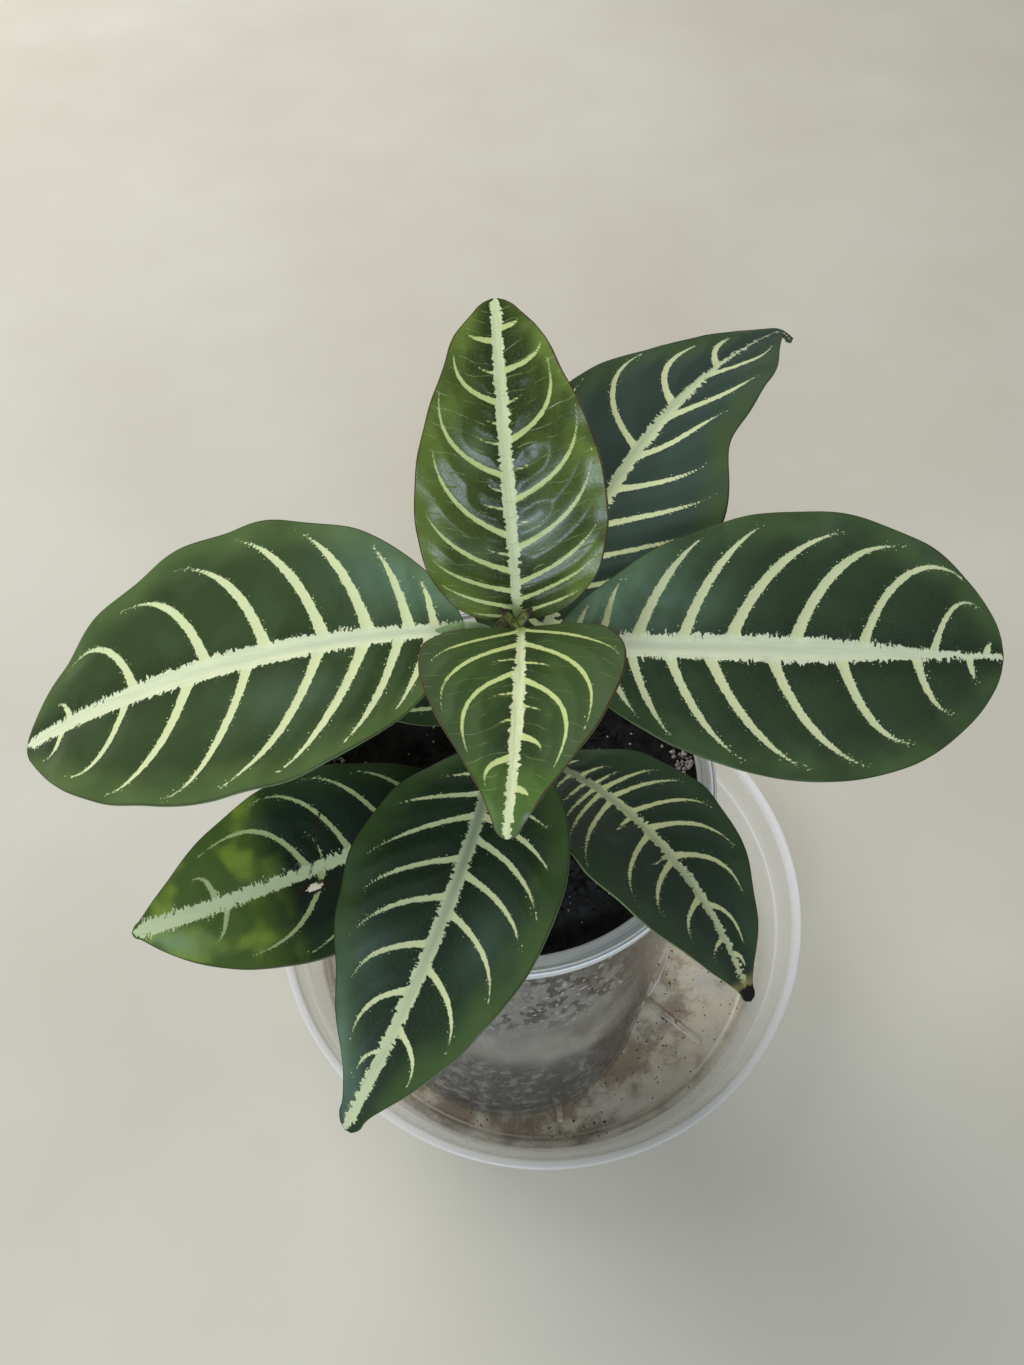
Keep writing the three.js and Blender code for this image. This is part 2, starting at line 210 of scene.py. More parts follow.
class Graph:
    """A material's node tree, written as short calls that hand on sockets."""

    def __init__(self, name: str) -> None:
        """Start a material with one Principled shader and its output.

        Args:
            name: The material's name.
        """
        self.material = bpy.data.materials.new(name)
        self.material.use_nodes = True
        self.tree = self.material.node_tree
        self.tree.nodes.clear()
        self.shader = self.tree.nodes.new("ShaderNodeBsdfPrincipled")
        output = self.tree.nodes.new("ShaderNodeOutputMaterial")
        self.tree.links.new(self.shader.outputs[0], output.inputs["Surface"])

    def feed(self, socket: object, value: object) -> None:
        """Set an input socket to a number, a colour or another node's output.

        Args:
            socket: The input socket.
            value: What it gets, or None to leave it as it is.
        """
        if isinstance(value, bpy.types.NodeSocket):
            self.tree.links.new(value, socket)
        elif value is not None:
            socket.default_value = value

    def surface(self, **inputs: object) -> None:
        """Set the shader's inputs, named with _ for a space."""
        for name, value in inputs.items():
            self.feed(self.shader.inputs[name.replace("_", " ")], value)

    def node(self, kind: str, output: object, inputs: dict, **settings: object) -> object:
        """Add a node, feed its inputs and hand on one of its outputs.

        Args:
            kind: The node's type, without its leading ShaderNode.
            output: The wanted output, by its name or number.
            inputs: What its inputs get, by their names or numbers.
            **settings: The node's own settings.

        Returns:
            The output's socket.
        """
        node = self.tree.nodes.new("ShaderNode" + kind)
        for name, value in settings.items():
            setattr(node, name, value)
        for key, value in inputs.items():
            self.feed(node.inputs[key], value)
        return node.outputs[output]

    def number(self, name: str) -> object:
        """One of the piece's own attributes that holds a number."""
        return self.node("Attribute", "Fac", {}, attribute_name=name)

    def arrow(self, name: str) -> object:
        """One of the piece's own attributes that holds a vector."""
        return self.node("Attribute", "Vector", {}, attribute_name=name)

    def position(self, factors: Sequence[float] = (1, 1, 1)) -> object:
        """Object coordinates in millimetres, stretched by factors."""
        return self.stretch(self.node("TexCoord", "Object", {}), [f / MM for f in factors])

    def stretch(self, vector: object, factors: Sequence[float]) -> object:
        """A vector times factors, one for each axis."""
        return self.node("VectorMath", 0, {0: vector, 1: tuple(factors)}, operation="MULTIPLY")

    def noise(self, vector: object, scale: float, detail: float = 2, rough: float = 0.5) -> object:
        """Noise around 0.5, with scale as its waves in each millimetre."""
        inputs = {"Vector": vector, "Scale": scale, "Detail": detail, "Roughness": rough}
        return self.node("TexNoise", "Fac", inputs)

    def math(self, operation: str, *values: object) -> object:
        """One step of arithmetic on one to three values."""
        return self.node("Math", 0, dict(enumerate(values)), operation=operation)

    def times(self, a: object, b: object) -> object:
        """The product of two values."""
        return self.math("MULTIPLY", a, b)

    def plus(self, a: object, b: object) -> object:
        """The sum of two values."""
        return self.math("ADD", a, b)

    def times_plus(self, a: object, b: object, c: object) -> object:
        """The product of a and b, plus c."""
        return self.math("MULTIPLY_ADD", a, b, c)

    def higher(self, a: object, b: object) -> object:
        """The higher one of two values."""
        return self.math("MAXIMUM", a, b)

    def size(self, value: object) -> object:
        """A value without its sign."""
        return self.math("ABSOLUTE", value)

    def minus(self, a: object, b: object) -> object:
        """A value less another one."""
        return self.math("SUBTRACT", a, b)

    def swing(self, value: object) -> object:
        """Noise round 0 instead of 0.5, so that it swings both ways."""
        return self.minus(value, 0.5)

    def ramp(
        self, value: object, low: float, high: float, start: float = 0, end: float = 1
    ) -> object:
        """Go smoothly from start to end as value goes from low to high."""
        inputs = {"Value": value, "From Min": low, "From Max": high, "To Min": start, "To Max": end}
        return self.node("MapRange", "Result", inputs, interpolation_type="SMOOTHSTEP")

    def blend(self, share: object, low: object, high: object) -> object:
        """Blend two colours, given as display codes or sockets."""
        low, high = (paint(c) if isinstance(c, str) else c for c in (low, high))
        return self.node("Mix", 2, {0: share, 6: low, 7: high}, data_type="RGBA")

    def relief(self, height: object, depth: float, strength: float = 1) -> object:
        """Tilt the normal by a height, whose 0 to 1 is depth millimetres."""
        inputs = {"Strength": strength, "Distance": depth * MM, "Height": height}
        return self.node("Bump", 0, inputs)

    def axis(self, vector: object, name: str) -> object:
        """A vector's number along X, Y or Z."""
        return self.node("SeparateXYZ", name, {0: vector})

    def up(self) -> object:
        """The height on the piece, in millimetres."""
        return self.axis(self.position(), "Z")

    def sideways(self) -> object:
        """The place along X, in millimetres."""
        return self.axis(self.position(), "X")

    def join(self, x: object, y: object, z: object) -> object:
        """A vector of three numbers."""
        return self.node("CombineXYZ", 0, {0: x, 1: y, 2: z})

    def line(self, value: object, place: float, half: float) -> object:
        """1 where value is place, and 0 further than half from it."""
        return self.ramp(self.size(self.minus(value, place)), half * 0.3, half, 1, 0)

    def away_from(self, centre: Sequence[float]) -> object:
        """The level distance from a centre, in millimetres."""
        inputs = {0: self.position((1, 1, 0)), 1: centre}
        return self.node("VectorMath", "Value", inputs, operation="DISTANCE")

    def facing(self, blend: float) -> object:
        """0 where the surface faces the eye, and 1 at its turned edges."""
        return self.node("LayerWeight", "Facing", {"Blend": blend})


UNDERSIDE_VEIN = "#b9c79a"
TORN_BROWN = "#2a1a11"
YELLOWED = "#8f8450"
WITHERED = "#14100f"

# Noises on a leaf: waves in each millimetre, finer layers, and how strong those are.
CLOUDS = (0.09, 3)
GRAIN = (1.7, 3, 0.6)
BLOTCHES = (0.07, 2)
JAGS = (0.75, 2, 0.6)
FINE_JAGS = (1.9, 2, 0.65)
SPURS = (1.0, 3, 0.6)
GUSTS = (0.27, 1)
DOTS = (0.7, 1)
SPECKS = (2.2, 0)
TEARS = (0.9, 2)
BENDS = (0.14, 1)
FAINT_PARTS = (0.35, 2)

# Where one colour passes into another, in millimetres from the thing named.
PAINT_EDGE = (-0.1, 0.12)
SPECK_BAND = (0.0, 1.7)
HEART_BAND = (3.0, 9.0)
BORDER_BAND = (1.0, 9.5)
MARGIN_BAND = (0.1, 0.38)
GROOVE_BAND = (0.1, 1.4)
RAISED_BAND = (-0.2, 0.9)
SCAR_BAND = (0.15, 0.75)
YELLOW_BAND = (0.2, 2.6)
BLACK_BAND = (-0.4, 0.5)


@dataclass(frozen=True)
class LeafFinish:
    """The colours of one leaf: its green, its painted veins and its margin.

    heart is the green beside the midrib, field between the side veins and
    border towards the margin. vein_frill and rib_frill are how far, in
    millimetres, the paint of the veins and of the midrib feathers out. net is
    how strongly the fine cross veins show. patch is a second green, in spots
    from the share patches_from on, where late is the green of the whole blade.
    speck_level is higher for fewer stray specks.
    """

    name: str
    heart: str
    field: str
    border: str
    vein: str
    rib: str
    groove: str
    patch: str
    late: str | None = None
    margin: str = "#4a3424"
    under: str = "#7d9463"
    # Colour of the painted bluish reflection, laid where the gleam attribute is above 0.
    painted_sheen: str = "#6e8b70"
    roughness: float = 0.4
    gloss: float = 0.5
    speck_level: float = 0.64
    vein_frill: float = 0.35
    rib_frill: float = 0.9
    net: float = 0.0
    patches: float = 0.3
    patches_from: float = -1.0
    dull_base: float = 0.1

    def make(self) -> Material:
        """Build the finish from the blade's own attributes.

        Returns:
            The material.
        """
        g = Graph(self.name)
        place = g.arrow("blade_mm")
        cloud = g.noise(place, *CLOUDS)
        grain = g.noise(place, *GRAIN)
        rib, vein = self.painted(g, place)
        net = self.cross_veins(g, place)
        top = self.greens(g, place, cloud, grain)
        if net is not None:
            top = g.blend(net, top, self.groove)
        top = g.blend(vein, top, self.vein)
        top = g.blend(rib, top, self.midrib_colour(g, place))
        top = g.blend(g.ramp(g.number("rim"), *MARGIN_BAND, 0.85, 0), top, self.margin)
        top = self.damaged(g, place, top)
        raised = g.ramp(g.number("vein_edge"), *RAISED_BAND, 0.75, 0)
        below = g.blend(raised, self.under, UNDERSIDE_VEIN)
        below = g.blend(g.ramp(grain, 0.4, 0.75, 0, 0.2), below, self.field)
        under = g.number("underside")
        rough = g.ramp(grain, 0.3, 0.8, self.roughness - 0.06, self.roughness + 0.1)
        rough = g.plus(g.times(g.higher(rib, vein), 0.12), rough)
        height = g.plus(g.times(grain, 0.35), g.times(cloud, 0.4))
        if net is not None:
            height = g.minus(height, g.times(net, 1.6))
        g.surface(
            Base_Color=g.blend(under, top, below),
            Roughness=g.plus(rough, g.times(under, 0.2)),
            Normal=g.relief(height, 0.22, 0.55),
            Specular_IOR_Level=self.gloss,
        )
        return g.material

    def greens(self, g: Graph, place: object, cloud: object, grain: object) -> object:
        """The blade's greens from midrib to margin, with spots and painted bluish reflections.

        Args:
            g: The graph to add to.
            place: The place on the blade, in millimetres.
            cloud: Broad noise, which makes the greens' borders wander.
            grain: Fine noise, which mottles them.

        Returns:
            The colour's socket.
        """
        inward = g.times_plus(g.swing(cloud), 9.0, g.number("rim"))
        green = g.blend(g.ramp(inward, *BORDER_BAND), self.border, self.field)
        close = g.times_plus(cloud, 6.0, g.number("rib_edge"))
        green = g.blend(g.ramp(close, *HEART_BAND), self.heart, green)
        late = g.ramp(g.number("share"), self.patches_from, self.patches_from + 0.12)
        if self.late:
            green = g.blend(late, green, self.late)
        spots = g.ramp(g.noise(place, *BLOTCHES), 0.48, 0.62, 0, self.patches)
        green = g.blend(g.times(spots, late), green, self.patch)
        mottle = g.times(g.ramp(grain, 0.35, 0.75), 0.22)
        green = g.blend(mottle, green, self.border)
        # Painted bluish reflection: the gleam spots blend the green towards the reflection colour.
        painted_sheen = g.times(g.number("gleam"), g.ramp(cloud, 0.3, 0.6, 0.5, 1))
        return g.blend(painted_sheen, green, self.painted_sheen)

    def midrib_colour(self, g: Graph, place: object) -> object:
        """The midrib's colour, streaked along it and greener in its groove.

        Args:
            g: The graph to add to.
            place: The place on the blade, in millimetres.

        Returns:
            The colour's socket.
        """
        streaks = g.noise(g.stretch(place, (0.12, 1.6, 1)), 1.0, 2)
        colour = g.blend(g.ramp(streaks, 0.42, 0.7, 0, 0.25), self.rib, self.groove)
        middle = g.times_plus(g.swing(streaks), 0.9, g.size(g.number("across_mm")))
        line = g.times(g.ramp(middle, *GROOVE_BAND, 1, 0), g.number("groove"))
        colour = g.blend(line, colour, self.groove)
        dull = g.ramp(g.number("share"), 0.0, self.dull_base, 0.85, 0)
        return g.blend(dull, colour, self.groove)

    def painted(self, g: Graph, place: object) -> tuple[object, object]:
        """The masks of the pale midrib and side veins, feathered and broken up.

        Args:
            g: The graph that the masks belong to.
            place: The place on the blade, in millimetres.

        Returns:
            The midrib's mask and the side veins' mask.
        """
        fine = g.swing(g.noise(place, *FINE_JAGS))
        spurs = g.swing(g.noise(g.stretch(place, (1.5, 0.5, 1)), *SPURS))
        spurs = g.times(spurs, g.ramp(g.noise(place, *GUSTS), 0.36, 0.66, 0.35, 1.6))
        jag = g.swing(g.noise(place, *JAGS))
        rib_edge = g.number("rib_edge")
        rib = g.times_plus(spurs, -4.2 * self.rib_frill, rib_edge)
        rib = g.times_plus(fine, -1.1 * self.rib_frill, rib)
        vein_edge = g.number("vein_edge")
        reach = g.number("vein_reach")
        calm = g.ramp(reach, 0.45, 0.95, -self.vein_frill, -0.4 * self.vein_frill)
        rough = g.plus(g.times(jag, 2.6), g.times(fine, 2.4))
        vein = g.times_plus(rough, calm, vein_edge)
        fade = g.ramp(reach, 0.88, 1.0)
        dots = g.ramp(g.noise(place, *DOTS), 0.42, 0.62, 0.7, -0.2)
        vein = g.times_plus(g.times(fade, dots), 0.25, vein)
        nearest = g.math("MINIMUM", rib_edge, vein_edge)
        speck = g.minus(g.noise(place, *SPECKS), self.speck_level)
        speck = g.times_plus(g.ramp(nearest, *SPECK_BAND), -0.22, speck)
        rib_mask, vein_mask = (g.ramp(edge, *PAINT_EDGE, 1, 0) for edge in (rib, vein))
        return rib_mask, g.higher(vein_mask, g.ramp(speck, 0.0, 0.03, 0, 0.85))

    def cross_veins(self, g: Graph, place: object) -> object:
        """The mask of the fine net between the side veins, or None without one.

        Args:
            g: The graph to add to.
            place: The place on the blade, in millimetres.

        Returns:
            The mask's socket, or None.
        """
        if not self.net:
            return None
        bent = g.times(g.swing(g.noise(place, *BENDS)), 1.2)
        side = g.times(g.size(g.number("across_mm")), -0.35)
        along = g.times(g.plus(g.axis(place, "X"), side), 0.36)
        rungs = g.math("FRACT", g.plus(along, bent))
        away = g.size(g.swing(rungs))
        rung = g.ramp(away, 0.0, 0.06, 1, 0)
        faint = g.ramp(g.noise(place, *FAINT_PARTS), 0.4, 0.62, 0.0, 1)
        return g.times(g.times(rung, faint), self.net)

    def damaged(self, g: Graph, place: object, colour: object) -> object:
        """Brown torn edges and a blackened tip, where the blade has them.

        Args:
            g: The graph to add to.
            place: The place on the blade, in millimetres.
            colour: The sound blade's colour.

        Returns:
            The colour with its damage.
        """
        ragged = g.times(g.swing(g.noise(place, *TEARS)), 1.6)
        scar = g.plus(g.number("scar"), ragged)
        colour = g.blend(g.ramp(scar, *SCAR_BAND, 0.97, 0), colour, TORN_BROWN)
        dead = g.plus(g.number("wither"), ragged)
        colour = g.blend(g.ramp(dead, *YELLOW_BAND, 0.8, 0), colour, YELLOWED)
        return g.blend(g.ramp(dead, *BLACK_BAND, 1, 0), colour, WITHERED)


FRESH_LEAF = LeafFinish(
    name="fresh_leaf", heart="#263310", field="#414f1b", border="#64762f", vein="#c0ca80",
    rib="#d2d6a4", groove="#8ea356", patch="#222f10", margin="#4c2620", under="#86a35a",
    painted_sheen="#8ba37c", roughness=0.31, gloss=0.34, vein_frill=0.14, rib_frill=0.52, net=0.5,
    patches=0.6, speck_level=0.8,
)
FOLDED_LEAF = replace(
    FRESH_LEAF, name="folded_leaf", heart="#2b3919", field="#3c5025", border="#435430",
    patch="#5f7a2c", late="#4b6429", patches_from=0.66, groove="#7b9048", under="#5d7538",
    roughness=0.38, gloss=0.3, net=0.4,
)
SPREADING_LEAF = LeafFinish(
    name="spreading_leaf", heart="#29361a", field="#2f3e1d", border="#4b5e2f", vein="#cbd29c",
    rib="#d3d8ae", groove="#a3ae92", patch="#3a4d2b", margin="#3f4a26", roughness=0.42,
    gloss=0.24, vein_frill=0.26, rib_frill=0.95, patches=0.4, speck_level=0.7,
)
LEVEL_LEAF = replace(
    SPREADING_LEAF, name="level_leaf", heart="#232f1c", field="#2c3a23", border="#40532e",
    patch="#222e20", vein="#c6ca98", rib="#cfd2ac",
)
SHADED_LEAF = LeafFinish(
    name="shaded_leaf", heart="#1a261a", field="#1f2d1d", border="#3d5229", vein="#c8ce98",
    rib="#c0c89a", groove="#75846b", patch="#223622", margin="#2f3a1f", painted_sheen="#65806f",
    roughness=0.36, gloss=0.28, vein_frill=0.2, rib_frill=0.8, patches=0.3, speck_level=0.72,
    dull_base=0.4,
)
SMALL_LEAF = replace(
    SHADED_LEAF, name="small_leaf", heart="#253225", field="#2a382a", border="#374930",
    vein="#cbce94", rib="#c2c796", margin="#33391f",
)
DISTANT_LEAF = replace(
    SHADED_LEAF, name="distant_leaf", heart="#2f3c33", field="#35443a", border="#40512f",
    patch="#303f38", dull_base=0.1,
)
OLD_LEAF = LeafFinish(
    name="old_leaf", heart="#121e15", field="#152218", border="#26351b", vein="#99a571",
    rib="#b3bd92", groove="#97a380", patch="#72872f", late="#425722", margin="#38341a",
    roughness=0.42, gloss=0.28, vein_frill=0.26, rib_frill=1.25, patches=0.95,
    patches_from=0.55, speck_level=0.7,
)


@dataclass(frozen=True)
class ClearPlastic:
    """Thin clear plastic, which hides little but at its turned edges.

    haze is how much the clean wall hides and edge how much more its turned
    edges do. lip_from is the height, in millimetres, above which the wall is
    thicker and hides lip_haze more.
    """

    name: str
    tint: str
    haze: float
    edge: float
    lip_from: float
    lip_haze: float
    lip_tint: str
    roughness: float = 0.08

    def make(self) -> Material:
        """Build the finish on the piece's own coordinates.

        Returns:
            The material.
        """
        g = Graph(self.name)
        height = g.up()
        lip = g.ramp(height, self.lip_from - 0.8, self.lip_from + 0.4)
        colour = g.blend(lip, self.tint, self.lip_tint)
        smooth = g.ramp(lip, 0, 1, 0.1, 0)
        edge = g.ramp(g.facing(0.35), 0.3, 1.0, 0, self.edge)
        alpha = g.times_plus(lip, self.lip_haze, g.plus(edge, self.haze))
        # The subclasses lay dirt, painted highlights and, on the saucer, painted shade here.
        colour, alpha = self.dirt_and_painted_light(g, height, colour, alpha)
        scuffs = g.noise(g.position((1, 1, 0.5)), 0.1, 1)
        worn = g.ramp(scuffs, 0.35, 0.7, 0, 0.12)
        g.surface(
            Base_Color=colour, Alpha=g.math("MINIMUM", alpha, 0.97),
            Roughness=g.plus(worn, g.plus(smooth, self.roughness)),
            Normal=g.relief(scuffs, 0.08, 0.3),
        )
        return g.material

    def dirt_and_painted_light(
        self, g: Graph, height: object, colour: object, alpha: object
    ) -> tuple[object, object]:
        """Lay dirt and painted light over the clean plastic, which has none of either."""
        return colour, alpha


@dataclass(frozen=True)
class HazedWall(ClearPlastic):
    """The pot's wall: fogged inside, streaked dark, and brown on its right.

    fog is how much the fog hides, and foot the height, in millimetres, below
    which it thins out. The dark dashes and bright beads begin between the two
    heights of upper, and the smears between the two places of smeared, which
    lie along X but for the noise. The last field holds the radii of the rim's
    two painted highlight lines.
    """

    fog_tint: str = "#aba69b"
    brown: str = "#5d4c3d"
    streak: str = "#57524a"
    bead: str = "#dcdad4"
    ring: str = "#7d868c"
    # Colour of the painted highlight lines on the rim.
    highlight_paint: str = "#f0f2f2"
    fog: float = 0.44
    foot: float = 82.0
    upper: Point = (100, 132)
    smeared: Point = (40, 62)
    highlight_radii: Point = (49.55, 48.7)

    def dirt_and_painted_light(
        self, g: Graph, height: object, colour: object, alpha: object
    ) -> tuple[object, object]:
        """Add the fog, its dark dashes, the brown smears and the rim's painted highlight lines.

        Args:
            g: The graph to add to.
            height: The height on the piece, in millimetres.
            colour: The clean plastic's colour.
            alpha: How much the clean plastic hides.

        Returns:
            The new colour and how much it hides.
        """
        wall = g.ramp(height, self.lip_from - 1.5, self.lip_from - 0.5, 1, 0)
        wide = g.noise(g.position((1, 1, 0.6)), 0.03, 2)
        dashes = g.noise(g.position((0.8, 0.8, 0.42)), 0.4, 1)
        drifts = g.noise(g.position(), 0.05, 1)
        below = g.times_plus(g.swing(wide), 60.0, height)
        foot = g.ramp(below, self.foot - 14, self.foot + 8, 0.12, 1)
        cover = g.times(g.ramp(wide, 0.36, 0.62, 0.78, 1), foot)
        lifted = g.times(g.ramp(dashes, 0.56, 0.62, 0, 0.6), g.ramp(foot, 0.3, 1, 1, 0))
        cover = g.times(g.higher(cover, lifted), wall)
        upper = g.times(g.ramp(height, *self.upper), g.ramp(drifts, 0.4, 0.52, 0.25, 1))
        dark = g.times(g.ramp(dashes, 0.49, 0.43), upper)
        beads = g.ramp(g.noise(g.position((1, 1, 0.6)), 0.7, 0), 0.71, 0.75, 0, 0.9)
        beads = g.times(g.times(beads, upper), wall)
        smear = self.smear(g, height, wall)
        colour = g.blend(cover, colour, self.fog_tint)
        colour = g.blend(g.times(dark, wall), colour, self.streak)
        colour = g.blend(smear, colour, self.brown)
        colour = g.blend(beads, colour, self.bead)
        # Painted highlights: two pale lines round the rim, which are also made more opaque.
        colour, bright = self.painted_highlight_lines(g, wall, colour)
        alpha = g.times_plus(cover, self.fog, alpha)
        return colour, g.times_plus(bright, 0.5, alpha)

    def smear(self, g: Graph, height: object, wall: object) -> object:
        """The mask of the slanting brown smears on the pot's right side.

        Args:
            g: The graph to add to.
            height: The height on the piece.
            wall: The mask of the wall below the rim.

        Returns:
            The smears' mask.
        """
        strokes = g.noise(g.stretch(g.position((1, 1, 0.25)), (1, 0.4, 1)), 0.13, 3, 0.6)
        right = g.times_plus(height, 0.12, g.sideways())
        right = g.times_plus(strokes, 46.0, right)
        return g.times(g.ramp(right, *self.smeared, 0, 0.85), wall)

    def painted_highlight_lines(self, g: Graph, wall: object, colour: object) -> tuple[object, object]:
        """The rim's two painted highlight lines and its faint rings, with the lines' mask.

        Args:
            g: The graph to add to.
            wall: The mask of the wall below the rim.
            colour: The colour so far.

        Returns:
            The new colour and the painted highlight lines' mask.
        """
        radius = g.away_from(POT_CENTRE)
        lip = g.minus(1.0, wall)
        ring = g.noise(g.join(radius, g.times(g.sideways(), 0.02), 0.0), 1.3, 2)
        colour = g.blend(g.times(g.ramp(ring, 0.5, 0.7, 0, 0.6), lip), colour, self.ring)
        # Painted highlights: two pale lines at fixed radii round the rim.
        outer, inner = (g.line(radius, place, 0.3) for place in self.highlight_radii)
        bright = g.times(g.higher(outer, inner), lip)
        return g.blend(bright, colour, self.highlight_paint), bright


@dataclass(frozen=True)
class SiltedDish(ClearPlastic):
    """The saucer: brown silt on its floor, thicker round the pot, where painted shade adds to it.

    silt_top is the height that the silt reaches, and rib_top the height of the
    ribs' painted highlight edges. The brown is thicker near the pot, partly silt
    and partly painted shade of the pot, and this extra brown fades between the two
    distances of thinning from the pot's middle. A painted highlight line runs round
    at the radius ledge, above ledge_foot.
    """

    silt: str = "#e4d4ae"
    # Brown of the blots, which also stands for painted shade round the pot.
    mud_and_shade: str = "#6e573d"
    grit: str = "#231c17"
    # Colour of the painted highlight lines on the ribs' edges and round the ledge.
    highlight_paint: str = "#ecebe6"
    silt_top: float = 6.0
    rib_top: float = 2.6
    thinning: Point = (46, 80)
    ledge: float = 87.2
    ledge_foot: float = 15.0

    def dirt_and_painted_light(
        self, g: Graph, height: object, colour: object, alpha: object
    ) -> tuple[object, object]:
        """Add silt, brown blots with painted shade by the pot, dark grains and painted highlights.

        Args:
            g: The graph to add to.
            height: The height on the piece, in millimetres.
            colour: The clean plastic's colour.
            alpha: How much the clean plastic hides.

        Returns:
            The new colour and how much it hides.
        """
        low = g.ramp(height, self.rib_top, self.silt_top, 1, 0)
        film = g.noise(g.position(), 0.05, 4, 0.6)
        blots = g.noise(g.position(), 0.11, 5, 0.68)
        # Painted shade: the brown blots grow denser towards the pot, partly silt and partly its
        # shadow.
        near = g.ramp(g.away_from(POT_CENTRE), *self.thinning, 0.16, 0)
        dark = g.ramp(g.plus(blots, near), 0.5, 0.72)
        grains = g.ramp(g.noise(g.position(), 0.8, 1), 0.69, 0.73)
        silt = g.times(g.ramp(film, 0.3, 0.65, 0.4, 0.8), low)
        dark = g.times(dark, low)
        grains = g.times(grains, low)
        colour = g.blend(silt, colour, self.silt)
        colour = g.blend(g.times(dark, 0.75), colour, self.mud_and_shade)
        # Painted highlights: pale lines along the ribs' top edges and round the ledge, also more
        # opaque.
        edges = g.times(g.line(height, self.rib_top, 0.5), 0.5)
        ledge = g.line(g.away_from((0, 0, 0)), self.ledge, 0.7)
        ledge = g.times(ledge, g.ramp(height, self.ledge_foot, self.ledge_foot + 2, 0, 0.5))
        edges = g.higher(edges, ledge)
        colour = g.blend(edges, colour, self.highlight_paint)
        colour = g.blend(grains, colour, self.grit)
        alpha = g.times_plus(silt, 0.62, alpha)
        alpha = g.times_plus(dark, 0.25, alpha)
        alpha = g.times_plus(edges, 0.4, alpha)
        return colour, g.times_plus(grains, 0.5, alpha)


POT_PLASTIC = HazedWall(
    name="pot_plastic", tint="#6c6a65", haze=0.14, edge=0.3, lip_from=157.5, lip_haze=0.6,
    lip_tint="#c8c7bf",
)
SAUCER_PLASTIC = SiltedDish(
    name="saucer_plastic", tint="#e0ddd3", haze=0.18, edge=0.42, lip_from=28.5, lip_haze=0.28,
    lip_tint="#e6e4df",
)


@dataclass(frozen=True)
class GrainyFinish:
    """A matt natural surface in two tones with a broken grain.

    pitch is the grain's size in millimetres, and stretch_z draws it out
    upwards when below 1.
    """

    name: str
    dark: str
    light: str
    pitch: float
    roughness: float
    depth: float
    stretch_z: float = 1.0

    def make(self) -> Material:
        """Build the finish on the piece's own coordinates.

        Returns:
            The material.
        """
        g = Graph(self.name)
        place = g.position((1, 1, self.stretch_z))
        coarse = g.noise(place, 0.4 / self.pitch, 4, 0.6)
        fine = g.noise(place, 1.4 / self.pitch, 3, 0.6)
        share = g.plus(g.times(coarse, 0.7), g.times(fine, 0.3))
        g.surface(
            Base_Color=g.blend(g.ramp(share, 0.38, 0.64), self.dark, self.light),
            Roughness=g.ramp(fine, 0.3, 0.7, self.roughness - 0.08, self.roughness + 0.05),
            Normal=g.relief(share, self.depth, 0.8),
        )
        return g.material


@dataclass(frozen=True)
class BudFinish:
    """Olive leaflets with a dark brown edge, which the attribute edge gives."""

    green: str = "#6d7734"
    shade: str = "#434a1e"
    brown: str = "#2c1c10"

    def make(self) -> Material:
        """Build the finish.

        Returns:
            The material.
        """
        g = Graph("bud_skin")
        grain = g.noise(g.position(), 1.6, 2)
        colour = g.blend(g.ramp(grain, 0.36, 0.64), self.shade, self.green)
        edge = g.times_plus(g.swing(grain), 0.3, g.number("edge"))
        g.surface(
            Base_Color=g.blend(g.ramp(edge, 0.62, 0.8), colour, self.brown), Roughness=0.5,
            Normal=g.relief(grain, 0.08, 0.8),
        )
        return g.material


POTTING_MIX = GrainyFinish("potting_mix", "#080808", "#1e1b1a", 1.4, 0.85, 0.9)
PERLITE = GrainyFinish("perlite", "#7f736d", "#cdc3bc", 0.8, 0.85, 0.2)
ROOT_SKIN = GrainyFinish("root_skin", "#2f1d14", "#5f4130", 0.7, 0.75, 0.1)
STEM_BARK = GrainyFinish("stem_bark", "#3d3c1e", "#707344", 0.9, 0.62, 0.15, 0.3)
TABLE_CLOTH = GrainyFinish("table_cloth", "#c1bba8", "#c9c4b2", 160.0, 0.8, 0.4)


# ------------------------------------------------------------------- the leaves


PATH_STEPS = 400  # legs into which a midrib is summed up
VEIN_POINTS = 28
KEEL_POINTS = 60
KEEL_SIDES = 14
KEEL_END = 0.97  # share of the blade at which its keel ends
STALK_POINTS = 10
STALK_END = 0.9  # share of the stalk's route at which the blade takes over

# Sizes in millimetres that all leaves share.
FOLD_ROUNDING = 3.0  # how round the fold is along the midrib
SWELL_WIDTH = 3.1  # from a side vein's middle to the swell beside it
FURROW_DEPTH = 0.14  # of the midrib's furrow
RIDGE_HEIGHT = 0.3  # of the side veins on the underside
RIDGE_WIDTH = 0.7
CREASE_DEPTH = 0.25  # so that a crease is brown but not cut out
FAR = 99.0  # where no vein or harm is near
CLEAR = 9.0  # by which stalk and keel are clear of the blade's paint


@dataclass(frozen=True)
class Vein:
    """A side vein: where it leaves the midrib and ends, as shares of the length.

    reach is how far across it ends, as a share of the half width, and weight
    scales its width.
    """

    origin: float
    end: float
    reach: float
    weight: float = 1.0


@dataclass(frozen=True)
class Bulge:
    """Where one margin swells out by amount millimetres, or in when it is negative.

    side is 1 for the left margin and -1 for the right one. share is its place
    along the blade and spread how far it runs on, as a share of the length.
    """

    side: int
    share: float
    amount: float
    spread: float


@dataclass(frozen=True)
class Gleam:
    """A painted bluish reflection on the blade round a place given as (share, across).

    size is how far it spreads along and across, in the same shares.
    """

    spot: Point
    size: Point
    strength: float = 0.5


@dataclass(frozen=True)
class Harm:
    """A torn hole and the crease that runs on from it.

    Their places are given as (share, across), and hole_size is the hole's half
    length and half width in millimetres.
    """

    hole: Point
    hole_size: Point
    crease: Sequence[Point]


